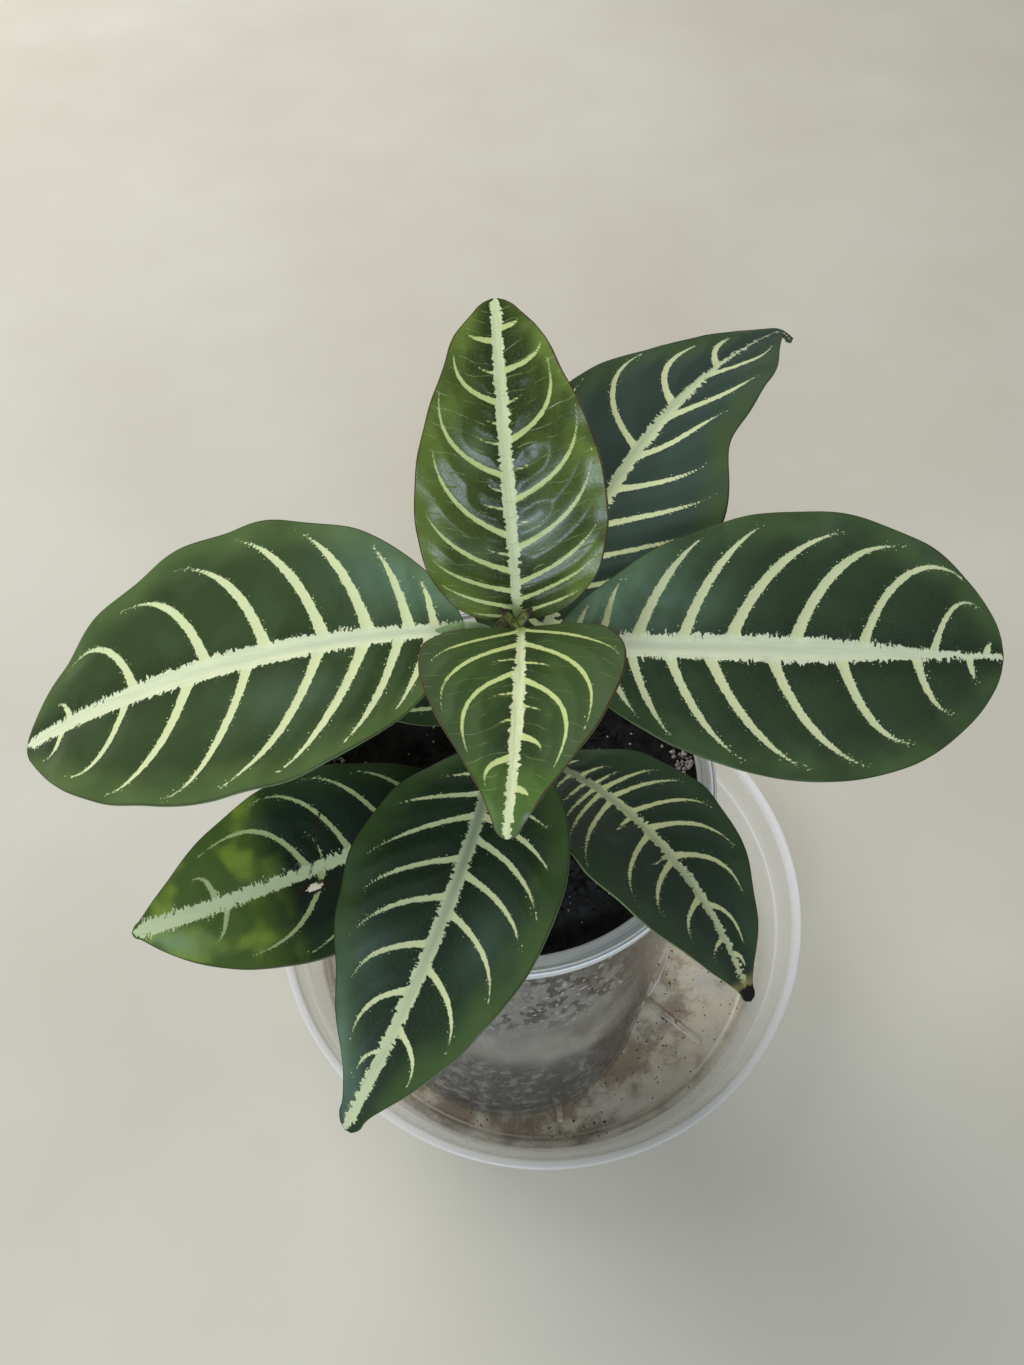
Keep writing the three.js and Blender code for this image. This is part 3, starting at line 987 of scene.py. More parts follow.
@dataclass(frozen=True)
class Leaf:
    """One leaf: its blade, painted veins, keel and stalk. Angles are in degrees.

    It starts start_radius from the stem's axis towards start_heading, leaves
    towards heading and turns by turn on its way, while its slope goes from
    rise to dip. roll and twist bank it, and its last part bends down by hook
    and sideways by hook_turn. The tapers set how slowly it widens from the stem
    and narrows to its round tip. quilt is the height of the swells between the
    side veins, ruffle that of the margin's waves and ruffles their number.

    rib is the painted midrib's half width at the base, middle and tip, and pith
    how dark its groove is. The bends say how far along and across the side
    veins' middle control point lies, and flare how much wider and how far, in
    millimetres, they open out at the midrib. The last dead_tip is withered. The
    stalk leaves the axis stalk_drop below the blade's start and ends stalk_sink
    under it.
    """

    name: str
    finish: LeafFinish
    height: float
    start_radius: float
    start_heading: float
    heading: float
    turn: float
    rise: float
    dip: float
    length: float
    left_half: float
    right_half: float
    roll: float
    twist: float
    base_taper: float
    tip_taper: float
    quilt: float
    ruffle: float
    ruffles: float
    stalk_drop: float
    rib: tuple[float, float, float]
    vein_half: float
    left_veins: Sequence[Vein]
    right_veins: Sequence[Vein]
    left_bend: Point = (0.28, 0.8)
    right_bend: Point = (0.28, 0.8)
    hook: float = 0.0
    hook_turn: float = 0.0
    tip_radius: float = 1.0
    bulges: Sequence[Bulge] = ()
    pith: float = 0.5
    harm: Harm | None = None
    # Painted bluish reflections on the blade.
    gleams: Sequence[Gleam] = ()
    dead_tip: float = 0.0
    slot: str = "leaf_mature"
    cells_along: int = 156
    cells_across: int = 92
    thickness: float = 0.5
    fold: float = 0.12
    stalk_half_width: float = 1.7
    stalk_half_height: float = 1.25
    stalk_sink: float = 0.0
    flare: Point = (0.9, 2.3)

    def direction(self, share: Field) -> Field:
        """The unit direction of the midrib at shares of its length.

        Args:
            share: Shares of the blade's length.

        Returns:
            Unit directions, one a share.
        """
        curl = smooth_step(0.945, 1, share)
        slope = np.radians(mix(self.rise, self.dip, share) - self.hook * curl)
        heading = np.radians(self.heading + self.turn * share + self.hook_turn * curl)
        flat = np.cos(slope)
        return np.stack([flat * np.cos(heading), flat * np.sin(heading), np.sin(slope)], axis=-1)

    def start(self) -> Field:
        """Where the blade starts, in millimetres.

        Returns:
            The point, as x, y and z.
        """
        heading = math.radians(self.start_heading)
        out = Vector((math.cos(heading), math.sin(heading), 0)) * self.start_radius
        return np.array(STEM_AXIS + out + Vector((0, 0, self.height)))

    def midrib(self, share: Field) -> tuple[Field, Field, Field]:
        """The midrib's points with the blade's left and up directions.

        Args:
            share: Shares of the blade's length, in any order.

        Returns:
            Points in millimetres, left directions and up directions.
        """
        middles = (np.arange(PATH_STEPS) + 0.5) / PATH_STEPS
        legs = self.direction(middles) * self.length / PATH_STEPS
        path = np.vstack([self.start(), legs]).cumsum(axis=0)
        at = np.clip(share, 0, 1) * PATH_STEPS
        marks = np.arange(PATH_STEPS + 1)
        centre = np.stack([np.interp(at, marks, path[:, k]) for k in range(3)], axis=-1)
        left, up = self.banked(self.direction(share), self.roll + self.twist * share)
        return centre, left, up

    @staticmethod
    def banked(along: Field, roll: Field) -> tuple[Field, Field]:
        """Level left and up directions beside along, turned by roll degrees.

        Args:
            along: The directions in which the midrib runs.
            roll: The bank in degrees.

        Returns:
            Left directions and up directions.
        """
        left = np.cross(np.array([0.0, 0.0, 1.0]), along)
        left /= np.linalg.norm(left, axis=-1, keepdims=True)
        up = np.cross(along, left)
        bank = np.radians(np.asarray(roll, dtype=float))[..., None]
        return left * np.cos(bank) + up * np.sin(bank), up * np.cos(bank) - left * np.sin(bank)

    def half_width(self, share: Field, across: Field) -> Field:
        """The blade's half width in millimetres, on the side of across.

        Args:
            share: Shares of the blade's length.
            across: Places across, from -1 at the right margin to 1.

        Returns:
            Half widths in millimetres.
        """
        widest = self.base_taper / (self.base_taper + self.tip_taper)
        peak = widest**self.base_taper * (1 - widest) ** self.tip_taper
        inside = np.clip(share, 1e-9, 1 - 1e-9)
        outline = inside**self.base_taper * (1 - inside) ** self.tip_taper / peak
        width = np.where(across < 0, self.right_half, self.left_half) * outline
        for bulge in self.bulges:
            swell = bulge.amount * hump(share - bulge.share, bulge.spread)
            width = width + np.where(across * bulge.side > 0, swell, 0.0)
        gap = (1 - inside) * self.length / self.tip_radius
        cap = np.sqrt(1 - (1 - np.minimum(gap, 1)) ** 2) * np.exp(-np.maximum(gap - 1, 0) / 1.5)
        return np.hypot(np.maximum(width, 0), cap * self.tip_radius)

    def rib_half(self, share: Field) -> Field:
        """The painted midrib's half width in millimetres.

        Args:
            share: Shares of the blade's length.

        Returns:
            Half widths in millimetres.
        """
        base, middle, tip = self.rib
        lower = mix(base, middle, smooth_step(0.0, 0.45, share))
        half = np.where(share < 0.5, lower, mix(middle, tip, smooth_step(0.5, 0.95, share)))
        return np.minimum(half, 0.3 + 0.5 * (1 - share) * self.length)

    def vein_fields(self, share: Field, across: Field) -> dict[str, Field]:
        """How far each place on the blade lies from the side veins.

        Args:
            share: Shares of the length.
            across: Places across, from -1 at the right margin to 1.

        Returns:
            vein_edge, the distance outside the nearest vein's paint; reach,
            0 to 1 along that vein; and centre, the distance from its middle,
            all in millimetres but reach.
        """
        half = self.half_width(share, across)
        place = np.stack([share * self.length, across * half], axis=-1)
        edge = np.full(share.shape, FAR)
        centre = np.full(share.shape, FAR)
        reach = np.zeros(share.shape)
        sides = ((1, self.left_veins, self.left_bend), (-1, self.right_veins, self.right_bend))
        for side, veins, bend in sides:
            chosen = np.flatnonzero(across * side > -0.02)
            here = place[chosen]
            for vein in veins:
                curve = self.vein_curve(vein, bend, side)
                away, along = distance_to_path(here, curve)
                run = np.linalg.norm(np.diff(curve, axis=0), axis=1).sum()
                taper = 1.1 - 0.35 * along - 0.62 * smooth_step(0.5, 1.0, along)
                flare = self.flare[0] * np.exp(-along * run / self.flare[1])
                paint_edge = away - self.vein_half * vein.weight * (taper + flare)
                better = paint_edge < edge[chosen]
                spots = chosen[better]
                edge[spots] = paint_edge[better]
                reach[spots] = along[better]
                centre[chosen] = np.minimum(centre[chosen], away)
        return {"vein_edge": edge, "reach": reach, "centre": centre}

    def vein_curve(self, vein: Vein, bend: Point, side: int) -> Field:
        """A side vein's route on the flat blade, in millimetres.

        Args:
            vein: The vein.
            bend: Where its middle control point lies, along and across.
            side: 1 on the left side and -1 on the right.

        Returns:
            Its points as (along, across).
        """
        share = np.linspace(0, 1, VEIN_POINTS)
        ends = vein.origin, vein.origin + bend[0] * (vein.end - vein.origin), vein.end
        over = 0.0, bend[1] * vein.reach, vein.reach
        weights = (1 - share) ** 2, 2 * share * (1 - share), share**2
        along = sum(w * e for w, e in zip(weights, ends))
        across = side * sum(w * o for w, o in zip(weights, over))
        return np.stack([along * self.length, across * self.half_width(along, across)], axis=-1)

    def relief(self, share: Field, across: Field, centre: Field) -> Field:
        """The blade's height above its folded plane, in millimetres.

        Args:
            share: Shares of the length.
            across: Places across.
            centre: Distance from the nearest side vein's middle.

        Returns:
            Swells between the veins, the veins' furrows and the margin's waves.
        """
        out = np.abs(across)
        calm = smooth_step(0, 0.12, share) * (1 - smooth_step(0.86, 1, share))
        beside = np.minimum(centre, out * self.half_width(share, across) * 0.8)
        flatter = 1 - 0.55 * smooth_step(0.66, 1, out)
        swell = self.quilt * (1 - hump(beside, SWELL_WIDTH)) * flatter
        furrow = FURROW_DEPTH * hump(out * self.half_width(share, across), 1.0)
        furrow *= smooth_step(0.03, 0.15, share)
        phase = np.where(across < 0, 1.9, 0.4)
        wave = self.ruffle * out**3 * np.sin(2 * math.pi * self.ruffles * share + phase)
        return calm * (swell + wave) - furrow * (1 - smooth_step(0.8, 1, share))

    def build(self, finish: Material) -> Object:
        """Build the leaf and let it stand for its solid.

        Args:
            finish: The leaf's material.

        Returns:
            The leaf's object.
        """
        shape = bmesh.new()
        bmesh.ops.create_grid(shape, x_segments=self.cells_along, y_segments=self.cells_across, size=1)
        flat = np.array([vert.co[:2] for vert in shape.verts])
        share = (flat[:, 0] + 1) / 2
        across = flat[:, 1]
        fields = self.vein_fields(share, across)
        points = self.blade_points(share, across, fields["centre"])
        values = self.attributes(share, across, fields)
        self.lay_out(shape, points, values)
        if self.harm:
            self.tear(shape)
        self.thicken(shape)
        self.add_keel(shape)
        return settle(shape, self.name + "_blade", [finish], self.slot, self.name)

    def blade_points(self, share: Field, across: Field, centre: Field) -> Field:
        """The top surface's points, in metres.

        Args:
            share: Shares of the blade's length.
            across: Places across, from -1 at the right margin to 1.
            centre: Distance from the nearest side vein's middle.

        Returns:
            Points as x, y and z.
        """
        middle, left, up = self.midrib(share)
        width = self.half_width(share, across)
        rounded = np.hypot(across * width, FOLD_ROUNDING) - FOLD_ROUNDING
        lift = rounded * math.sin(self.fold) + self.relief(share, across, centre)
        height = lift + self.thickness / 2
        sideways = across * width * math.cos(self.fold)
        return (middle + left * sideways[:, None] + up * height[:, None]) * MM

    def attributes(self, share: Field, across: Field, fields: dict[str, Field]) -> dict[str, Field]:
        """The numbers that the finish reads at each place on the blade.

        Args:
            share: Shares of the blade's length.
            across: Places across, from -1 at the right margin to 1.
            fields: What vein_fields gave for the same places.

        Returns:
            Each attribute's numbers, by its name.
        """
        width = self.half_width(share, across)
        side = across * width
        tip_gap = (1 - share) * self.length
        values = {
            "across_mm": side,
            "along_mm": share * self.length,
            "rib_edge": np.abs(side) - self.rib_half(share),
            "vein_edge": fields["vein_edge"],
            "vein_reach": fields["reach"],
            "vein_centre": fields["centre"],
            "rim": np.minimum((1 - np.abs(across)) * width, tip_gap + 0.3),
            "share": share,
            "groove": self.pith * (1 - 0.8 * smooth_step(0.2, 0.8, share)),
            # Strength of the painted bluish reflection.
            "gleam": self.gleam(share, across),
            "scar": np.full(share.shape, FAR),
            "wither": np.full(share.shape, FAR),
        }
        if self.dead_tip:
            values["wither"] = tip_gap - self.dead_tip
        if self.harm:
            values["scar"] = self.scar_distance(share, side)
        return values

    def gleam(self, share: Field, across: Field) -> Field:
        """How strongly the painted bluish reflection covers each place, from 0 to 1.

        Args:
            share: Shares of the blade's length.
            across: Places across, from -1 at the right margin to 1.

        Returns:
            The painted reflection's strengths.
        """
        total = np.zeros(share.shape)
        for gleam in self.gleams:
            along = hump(share - gleam.spot[0], gleam.size[0])
            total += gleam.strength * along * hump(across - gleam.spot[1], gleam.size[1])
        return np.minimum(total, 1.0)

    def scar_distance(self, share: Field, side: Field) -> Field:
        """Millimetres from the torn hole's edge or from its crease.

        Args:
            share: Shares of the blade's length.
            side: Places across, in millimetres.

        Returns:
            Distances, below 0 inside the hole.
        """
        place = np.stack([share * self.length, side], axis=-1)
        spots = [self.harm.hole, *self.harm.crease]
        shares, acrosses = np.array(spots).T
        path = np.stack([shares * self.length, acrosses * self.half_width(shares, acrosses)], axis=-1)
        crease, _ = distance_to_path(place, path)
        reach = (place - path[0]) / np.array(self.harm.hole_size)
        ring = (np.linalg.norm(reach, axis=1) - 1) * min(self.harm.hole_size)
        return np.minimum(crease + CREASE_DEPTH, ring)

    def lay_out(self, shape: bmesh.types.BMesh, points: Field, values: dict[str, Field]) -> None:
        """Move the grid to points and store values on its vertices.

        Args:
            shape: The grid, in its first order.
            points: One point a vertex, in metres.
            values: The attributes' numbers, by their names.
        """
        numbers = shape.verts.layers.float
        stored = [name for name in values if name != "along_mm"]
        place = shape.verts.layers.float_vector.new("blade_mm")
        for name in ("underside", *stored):
            numbers.new(name)
        layers = {name: numbers[name] for name in stored}
        for index, vert in enumerate(shape.verts):
            vert.co = points[index]
            vert[place] = (values["along_mm"][index], values["across_mm"][index], 0)
            for name, layer in layers.items():
                vert[layer] = values[name][index]

    @staticmethod
    def tear(shape: bmesh.types.BMesh) -> None:
        """Cut out the faces inside the torn hole.

        Args:
            shape: The blade.
        """
        layer = shape.verts.layers.float["scar"]
        gone = [face for face in shape.faces if all(vert[layer] < 0 for vert in face.verts)]
        bmesh.ops.delete(shape, geom=gone, context="FACES")

    def thicken(self, shape: bmesh.types.BMesh) -> None:
        """Give the blade its underside, with the side veins raised on it.

        Args:
            shape: The blade.
        """
        shape.normal_update()
        top = set(shape.verts)
        bmesh.ops.solidify(shape, geom=shape.faces[:], thickness=self.thickness * MM)
        shape.normal_update()
        under = shape.verts.layers.float["underside"]
        centre = shape.verts.layers.float["vein_centre"]
        for vert in shape.verts:
            if vert not in top:
                vert[under] = 1.0
                ridge = RIDGE_HEIGHT * math.exp(-((vert[centre] / RIDGE_WIDTH) ** 2))
                vert.co += vert.normal * ridge * MM

    def add_keel(self, shape: bmesh.types.BMesh) -> None:
        """Add the stalk, which runs on under the midrib as a tapering keel.

        Args:
            shape: The blade.
        """
        keel_share = np.linspace(0, KEEL_END, KEEL_POINTS)
        stalk = self.stalk_route()
        middle, left, up = (np.vstack(pair) for pair in zip(stalk, self.midrib(keel_share)))
        share = np.concatenate([np.zeros(len(stalk[0])), keel_share])
        open_share = smooth_step(0, 0.09, share)
        wide = mix(self.stalk_half_width, 1.15 * (1 - share) ** 0.8 + 0.12, open_share)
        high = mix(self.stalk_half_height, 0.85 * (1 - share) ** 0.8 + 0.1, open_share)
        drop = mix(self.stalk_sink, self.thickness * 0.2 + 0.92 * high, open_share)
        count = len(share) - 1

        def place(run: float, angle: float) -> Vector:
            """A point on the rod at a share of its route and an angle round it.

            Args:
                run: The share of the route.
                angle: The angle round the rod.

            Returns:
                The point in metres.
            """
            at = run * count
            row = min(int(at + 0.5), count)
            pinch = 0.0 if row in (0, count) else 1.0
            offset = left[row] * math.cos(angle) * wide[row] + up[row] * math.sin(angle) * high[row]
            return Vector((middle[row] - up[row] * drop[row] + offset * pinch) * MM)

        self.mark_keel(shape, wrap_tube(shape, place, count, KEEL_SIDES))

    def mark_keel(self, shape: bmesh.types.BMesh, rod: list[bmesh.types.BMVert]) -> None:
        """Store the attributes of the stalk and keel, pale like the midrib above.

        Args:
            shape: The blade.
            rod: The stalk's and keel's vertices.
        """
        numbers = shape.verts.layers.float
        place = shape.verts.layers.float_vector["blade_mm"]
        start = Vector(self.start())
        outward = Vector(self.direction(np.array(0.0)))
        for vert in rod:
            for name in ("vein_edge", "vein_centre", "rim", "scar", "wither"):
                vert[numbers[name]] = CLEAR
            on_stalk = (vert.co / MM - start).dot(outward) < 1.5
            vert[numbers["underside"]] = 0.6 if on_stalk else 0.85
            vert[numbers["rib_edge"]] = -1.0 if on_stalk else CLEAR
            vert[numbers["groove"]] = self.pith + 0.3
            vert[place] = vert.co / MM

    def stalk_route(self) -> tuple[Field, Field, Field]:
        """The stalk's points from the stem's axis, with left and up directions.

        Returns:
            Points in millimetres, left directions and up directions.
        """
        start = self.start()
        root = np.array([STEM_AXIS.x, STEM_AXIS.y, self.height - self.stalk_drop])
        out = self.direction(np.array(0.0))
        bend = start - out * self.start_radius / 2
        share = np.linspace(0, STALK_END, STALK_POINTS)[:, None]
        points = root * (1 - share) ** 2 + 2 * bend * share * (1 - share) + start * share**2
        along = (bend - root) * (1 - share) + (start - bend) * share
        along /= np.linalg.norm(along, axis=1, keepdims=True)
        left, up = self.banked(along, np.full(len(share), self.roll))
        return points, left, up


def distance_to_path(places: Field, path: Field) -> tuple[Field, Field]:
    """Distance from places to a path of straight pieces, on a plane.

    Args:
        places: Points, one a row.
        path: The path's points, one a row.

    Returns:
        The distance of each place, and the share of the path's length at
        which the path is nearest.
    """
    lengths = np.linalg.norm(np.diff(path, axis=0), axis=1)
    marks = np.concatenate([[0.0], lengths.cumsum()]) / lengths.sum()
    best = np.full(len(places), 1e9)
    run = np.zeros(len(places))
    for index, (start, end) in enumerate(zip(path, path[1:])):
        step = end - start
        share = np.clip((places - start) @ step / max(step @ step, 1e-9), 0, 1)
        away = np.linalg.norm(places - start - share[:, None] * step, axis=1)
        closer = away < best
        best[closer] = away[closer]
        run[closer] = mix(marks[index], marks[index + 1], share[closer])
    return best, run


def even_veins(origins: Sequence[float], sweep: float, reach: float) -> tuple[Vein, ...]:
    """Side veins that all run on by sweep and reach equally far across."""
    return tuple(Vein(o, min(o + sweep * (1 - 0.5 * o), 0.97), reach) for o in origins)


LEAF_TOP_BACK = Leaf(
    name="leaf_top_back", finish=FRESH_LEAF, slot="leaf_young",
    height=220, start_radius=3.3, start_heading=47, heading=98.4, turn=-5,
    rise=65.5, dip=19.5, length=62.5, left_half=18, right_half=18.5, roll=-4, twist=0.5,
    base_taper=0.45, tip_taper=0.85, quilt=1.1, ruffle=0.4, ruffles=6, stalk_drop=1,
    bulges=(Bulge(1, 0.9, 1.6, 0.1), Bulge(-1, 0.9, 1.6, 0.1)),
    rib=(0.85, 1.3, 1.0), vein_half=0.4, tip_radius=1.9, pith=0.12, cells_along=132,
    stalk_half_width=1.1, stalk_half_height=0.8, stalk_sink=0.9,
    flare=(0.75, 2.6),
    gleams=(
        Gleam((0.3, -0.3), (0.08, 0.2), 0.4), Gleam((0.24, 0.4), (0.04, 0.15), 0.15),
        Gleam((0.53, 0.36), (0.05, 0.16), 0.3),
    ),
    left_veins=(
        Vein(0.01, 0.05, 0.9, 0.7), Vein(0.045, 0.15, 0.93, 0.8), Vein(0.1, 0.24, 0.92, 0.9),
        Vein(0.165, 0.39, 0.91), Vein(0.275, 0.58, 0.87), Vein(0.455, 0.72, 0.93),
        Vein(0.67, 0.84, 0.9), Vein(0.86, 0.89, 0.75), Vein(0.22, 0.25, 0.3, 0.4),
        Vein(0.36, 0.39, 0.32, 0.4), Vein(0.41, 0.44, 0.22, 0.35), Vein(0.55, 0.58, 0.34, 0.4),
        Vein(0.61, 0.63, 0.24, 0.35), Vein(0.76, 0.79, 0.4, 0.4),
    ),
    right_veins=(
        Vein(0.025, 0.11, 0.97, 0.7), Vein(0.07, 0.23, 0.97, 0.8), Vein(0.125, 0.34, 0.94, 0.9),
        Vein(0.235, 0.52, 0.94), Vein(0.38, 0.66, 0.95), Vein(0.555, 0.8, 0.86),
        Vein(0.765, 0.86, 0.92), Vein(0.9, 0.93, 0.7), Vein(0.31, 0.34, 0.3, 0.4),
        Vein(0.47, 0.5, 0.3, 0.4), Vein(0.67, 0.7, 0.32, 0.4),
    ),
)
LEAF_TOP_FRONT = Leaf(
    name="leaf_top_front", finish=FOLDED_LEAF, slot="leaf_young",
    height=224, start_radius=3.9, start_heading=-42, heading=-90.5, turn=-6.5,
    rise=23, dip=-32, length=44.5, left_half=19.4, right_half=18.8, roll=4, twist=2,
    base_taper=0.4, tip_taper=1.22, quilt=1.0, ruffle=0.3, ruffles=5, stalk_drop=3,
    bulges=(Bulge(1, 0.92, 1.0, 0.08), Bulge(-1, 0.92, 1.0, 0.08)),
    rib=(0.7, 1.15, 0.8), vein_half=0.4, tip_radius=1.8, pith=0.0, cells_along=112,
    stalk_half_width=1.1, stalk_half_height=0.8, stalk_sink=0.9,
    left_veins=(
        Vein(0.02, 0.25, 0.93, 0.8), Vein(0.12, 0.58, 0.88), Vein(0.33, 0.74, 0.8),
        Vein(0.59, 0.65, 0.42), Vein(0.8, 0.83, 0.58), Vein(0.24, 0.28, 0.3, 0.4),
        Vein(0.46, 0.49, 0.28, 0.4),
    ),
    right_veins=(
        Vein(0.03, 0.3, 0.93, 0.8), Vein(0.125, 0.51, 0.9), Vein(0.29, 0.71, 0.84),
        Vein(0.68, 0.8, 0.76), Vein(0.22, 0.25, 0.3, 0.4), Vein(0.4, 0.43, 0.3, 0.4),
        Vein(0.52, 0.55, 0.24, 0.4),
    ),
)
LEAF_LEFT = Leaf(
    name="leaf_left", finish=SPREADING_LEAF,
    height=220, start_radius=8, start_heading=180, heading=183, turn=8.5,
    rise=0.5, dip=-31.5, length=99, left_half=31.5, right_half=31.5, roll=-6, twist=8.5,
    base_taper=0.68, tip_taper=0.77, quilt=0.8, ruffle=0.6, ruffles=5, stalk_drop=6,
    rib=(1.5, 2.6, 1.7), vein_half=0.9, tip_radius=2, pith=0.4,
    gleams=(Gleam((0.1, -0.7), (0.14, 0.45), 0.6), Gleam((0.35, 0.4), (0.12, 0.2), 0.2)),
    left_veins=(
        Vein(0.07, 0.14, 0.87, 0.75), Vein(0.13, 0.24, 0.92, 0.85), Vein(0.2, 0.37, 0.92),
        Vein(0.29, 0.48, 0.93), Vein(0.44, 0.6, 0.96), Vein(0.57, 0.74, 0.92, 1.15),
        Vein(0.72, 0.85, 0.84, 0.8), Vein(0.89, 0.93, 0.62, 0.6),
    ),
    right_veins=(
        Vein(0.06, 0.09, 0.8, 0.65), Vein(0.11, 0.18, 0.9, 0.85), Vein(0.19, 0.33, 0.93, 1.05),
        Vein(0.28, 0.47, 0.93, 1.05), Vein(0.4, 0.59, 0.86, 1.05), Vein(0.53, 0.73, 0.85),
        Vein(0.7, 0.87, 0.85, 0.85), Vein(0.87, 0.91, 0.48, 0.6),
    ),
)
LEAF_RIGHT = Leaf(
    name="leaf_right", finish=LEVEL_LEAF,
    height=215, start_radius=8, start_heading=0, heading=-4, turn=5.5,
    rise=4, dip=-6, length=92, left_half=28, right_half=26.5, roll=14, twist=16.5,
    base_taper=0.79, tip_taper=0.63, quilt=0.8, ruffle=0.55, ruffles=5, stalk_drop=3,
    rib=(2.1, 2.7, 0.6), vein_half=0.88, tip_radius=2, pith=0.45,
    gleams=(Gleam((0.07, 0.6), (0.16, 0.5), 1.0), Gleam((0.3, 0.35), (0.1, 0.25), 0.25)),
    left_veins=(
        Vein(0.06, 0.09, 0.8, 0.6), Vein(0.12, 0.16, 0.88, 0.7), Vein(0.19, 0.34, 0.94),
        Vein(0.29, 0.47, 0.92), Vein(0.39, 0.64, 0.87, 1.1), Vein(0.53, 0.77, 0.89, 1.1),
        Vein(0.68, 0.9, 0.95, 0.85), Vein(0.84, 0.94, 0.8, 0.6), Vein(0.96, 0.97, 0.34, 0.5),
    ),
    right_veins=(
        Vein(0.06, 0.12, 0.85, 0.7), Vein(0.12, 0.2, 0.9, 0.75), Vein(0.18, 0.27, 0.94, 0.8),
        Vein(0.26, 0.41, 0.92, 0.9), Vein(0.345, 0.55, 0.91), Vein(0.48, 0.69, 0.92),
        Vein(0.63, 0.79, 0.84), Vein(0.8, 0.88, 0.7, 0.8), Vein(0.92, 0.94, 0.46, 0.5),
    ),
)
LEAF_BACK_RIGHT = Leaf(
    name="leaf_back_right", finish=DISTANT_LEAF,
    height=199.5, start_radius=8, start_heading=42, heading=69, turn=-28.5,
    rise=34, dip=-15, length=116, left_half=26, right_half=25, roll=4.5, twist=-1,
    base_taper=0.47, tip_taper=1.1, quilt=0.65, ruffle=0.4, ruffles=4, stalk_drop=6,
    hook=10, hook_turn=-105,
    bulges=(
        Bulge(-1, 0.58, -3.2, 0.09), Bulge(-1, 0.4, 1.2, 0.08), Bulge(1, 0.78, -2.6, 0.14),
        Bulge(-1, 0.84, 2.0, 0.07),
    ),
    rib=(1.25, 1.4, 0.0), vein_half=0.62, pith=0.15, right_bend=(0.4, 0.52),
    left_veins=(
        Vein(0.07, 0.18, 0.9, 0.8), Vein(0.15, 0.3, 0.93, 0.9), Vein(0.24, 0.42, 0.95),
        Vein(0.35, 0.54, 0.95), Vein(0.47, 0.67, 0.95), Vein(0.6, 0.76, 0.76, 1.1),
        Vein(0.75, 0.84, 0.68, 0.9),
    ),
    right_veins=(
        Vein(0.08, 0.18, 0.9, 0.8), Vein(0.15, 0.28, 0.9, 0.85), Vein(0.21, 0.36, 0.9, 0.9),
        Vein(0.285, 0.45, 0.89), Vein(0.37, 0.51, 0.77), Vein(0.45, 0.65, 0.7),
        Vein(0.56, 0.79, 0.78), Vein(0.71, 0.9, 0.62, 0.7),
    ),
)
LEAF_FRONT = Leaf(
    name="leaf_front", finish=SHADED_LEAF,
    height=189, start_radius=8, start_heading=-104, heading=-98.5, turn=-26,
    rise=11, dip=-36, length=85.5, left_half=22.5, right_half=23.5, roll=8.5, twist=7.5,
    base_taper=0.74, tip_taper=1.1, quilt=0.7, ruffle=0.5, ruffles=5, stalk_drop=3,
    rib=(0.95, 1.6, 1.2), vein_half=0.52, tip_radius=2.6, pith=0.7, cells_along=144,
    gleams=(
        Gleam((0.93, -0.5), (0.1, 0.6), 0.5), Gleam((0.8, -0.95), (0.12, 0.2), 0.5),
        Gleam((0.62, -0.6), (0.08, 0.25), 0.25), Gleam((0.5, 0.5), (0.08, 0.2), 0.2),
    ),
    left_bend=(0.31, 0.68),
    right_bend=(0.3, 0.7),
    left_veins=(
        Vein(0.1, 0.16, 0.8, 0.8), Vein(0.17, 0.24, 0.78, 0.9), Vein(0.22, 0.34, 0.86),
        Vein(0.28, 0.43, 0.85), Vein(0.37, 0.5, 0.84), Vein(0.465, 0.61, 0.84),
        Vein(0.595, 0.73, 0.84), Vein(0.74, 0.83, 0.84, 0.9),
    ),
    right_veins=(
        Vein(0.1, 0.13, 0.65, 0.7), Vein(0.16, 0.24, 0.88, 0.9), Vein(0.22, 0.39, 0.84),
        Vein(0.335, 0.5, 0.83), Vein(0.43, 0.6, 0.81), Vein(0.545, 0.7, 0.78),
        Vein(0.655, 0.82, 0.71, 0.9), Vein(0.8, 0.88, 0.5, 0.5),
    ),
)
LEAF_FRONT_RIGHT = Leaf(
    name="leaf_front_right", finish=SMALL_LEAF,
    height=177, start_radius=8, start_heading=-37, heading=-35.5, turn=-32.5,
    rise=26.5, dip=-32.5, length=73.5, left_half=19, right_half=21, roll=-18, twist=-2.5,
    base_taper=1, tip_taper=1.2, quilt=0.65, ruffle=0.35, ruffles=5, stalk_drop=4,
    rib=(1.0, 1.25, 0.7), vein_half=0.45, tip_radius=1.6, pith=0.4, cells_along=132, dead_tip=3.2,
    left_veins=(
        Vein(0.1, 0.13, 0.5, 0.8), Vein(0.175, 0.21, 0.52, 0.8), Vein(0.23, 0.25, 0.53, 0.6),
        Vein(0.26, 0.32, 0.84), Vein(0.3, 0.4, 0.9), Vein(0.375, 0.5, 0.89),
        Vein(0.445, 0.62, 0.86, 1.1), Vein(0.55, 0.74, 0.76, 1.1), Vein(0.71, 0.86, 0.5, 0.8),
        Vein(0.86, 0.91, 0.4, 0.6),
    ),
    right_veins=(
        Vein(0.1, 0.13, 0.5, 0.7), Vein(0.15, 0.18, 0.6, 0.7), Vein(0.21, 0.24, 0.66, 0.7),
        Vein(0.245, 0.3, 0.82, 0.8), Vein(0.27, 0.37, 0.93, 0.9), Vein(0.31, 0.46, 0.96),
        Vein(0.39, 0.41, 0.36, 0.7), Vein(0.46, 0.62, 0.87, 1.05), Vein(0.56, 0.69, 0.75, 1.1),
        Vein(0.54, 0.55, 0.3, 0.5), Vein(0.685, 0.78, 0.68), Vein(0.81, 0.85, 0.6, 0.7),
    ),
)
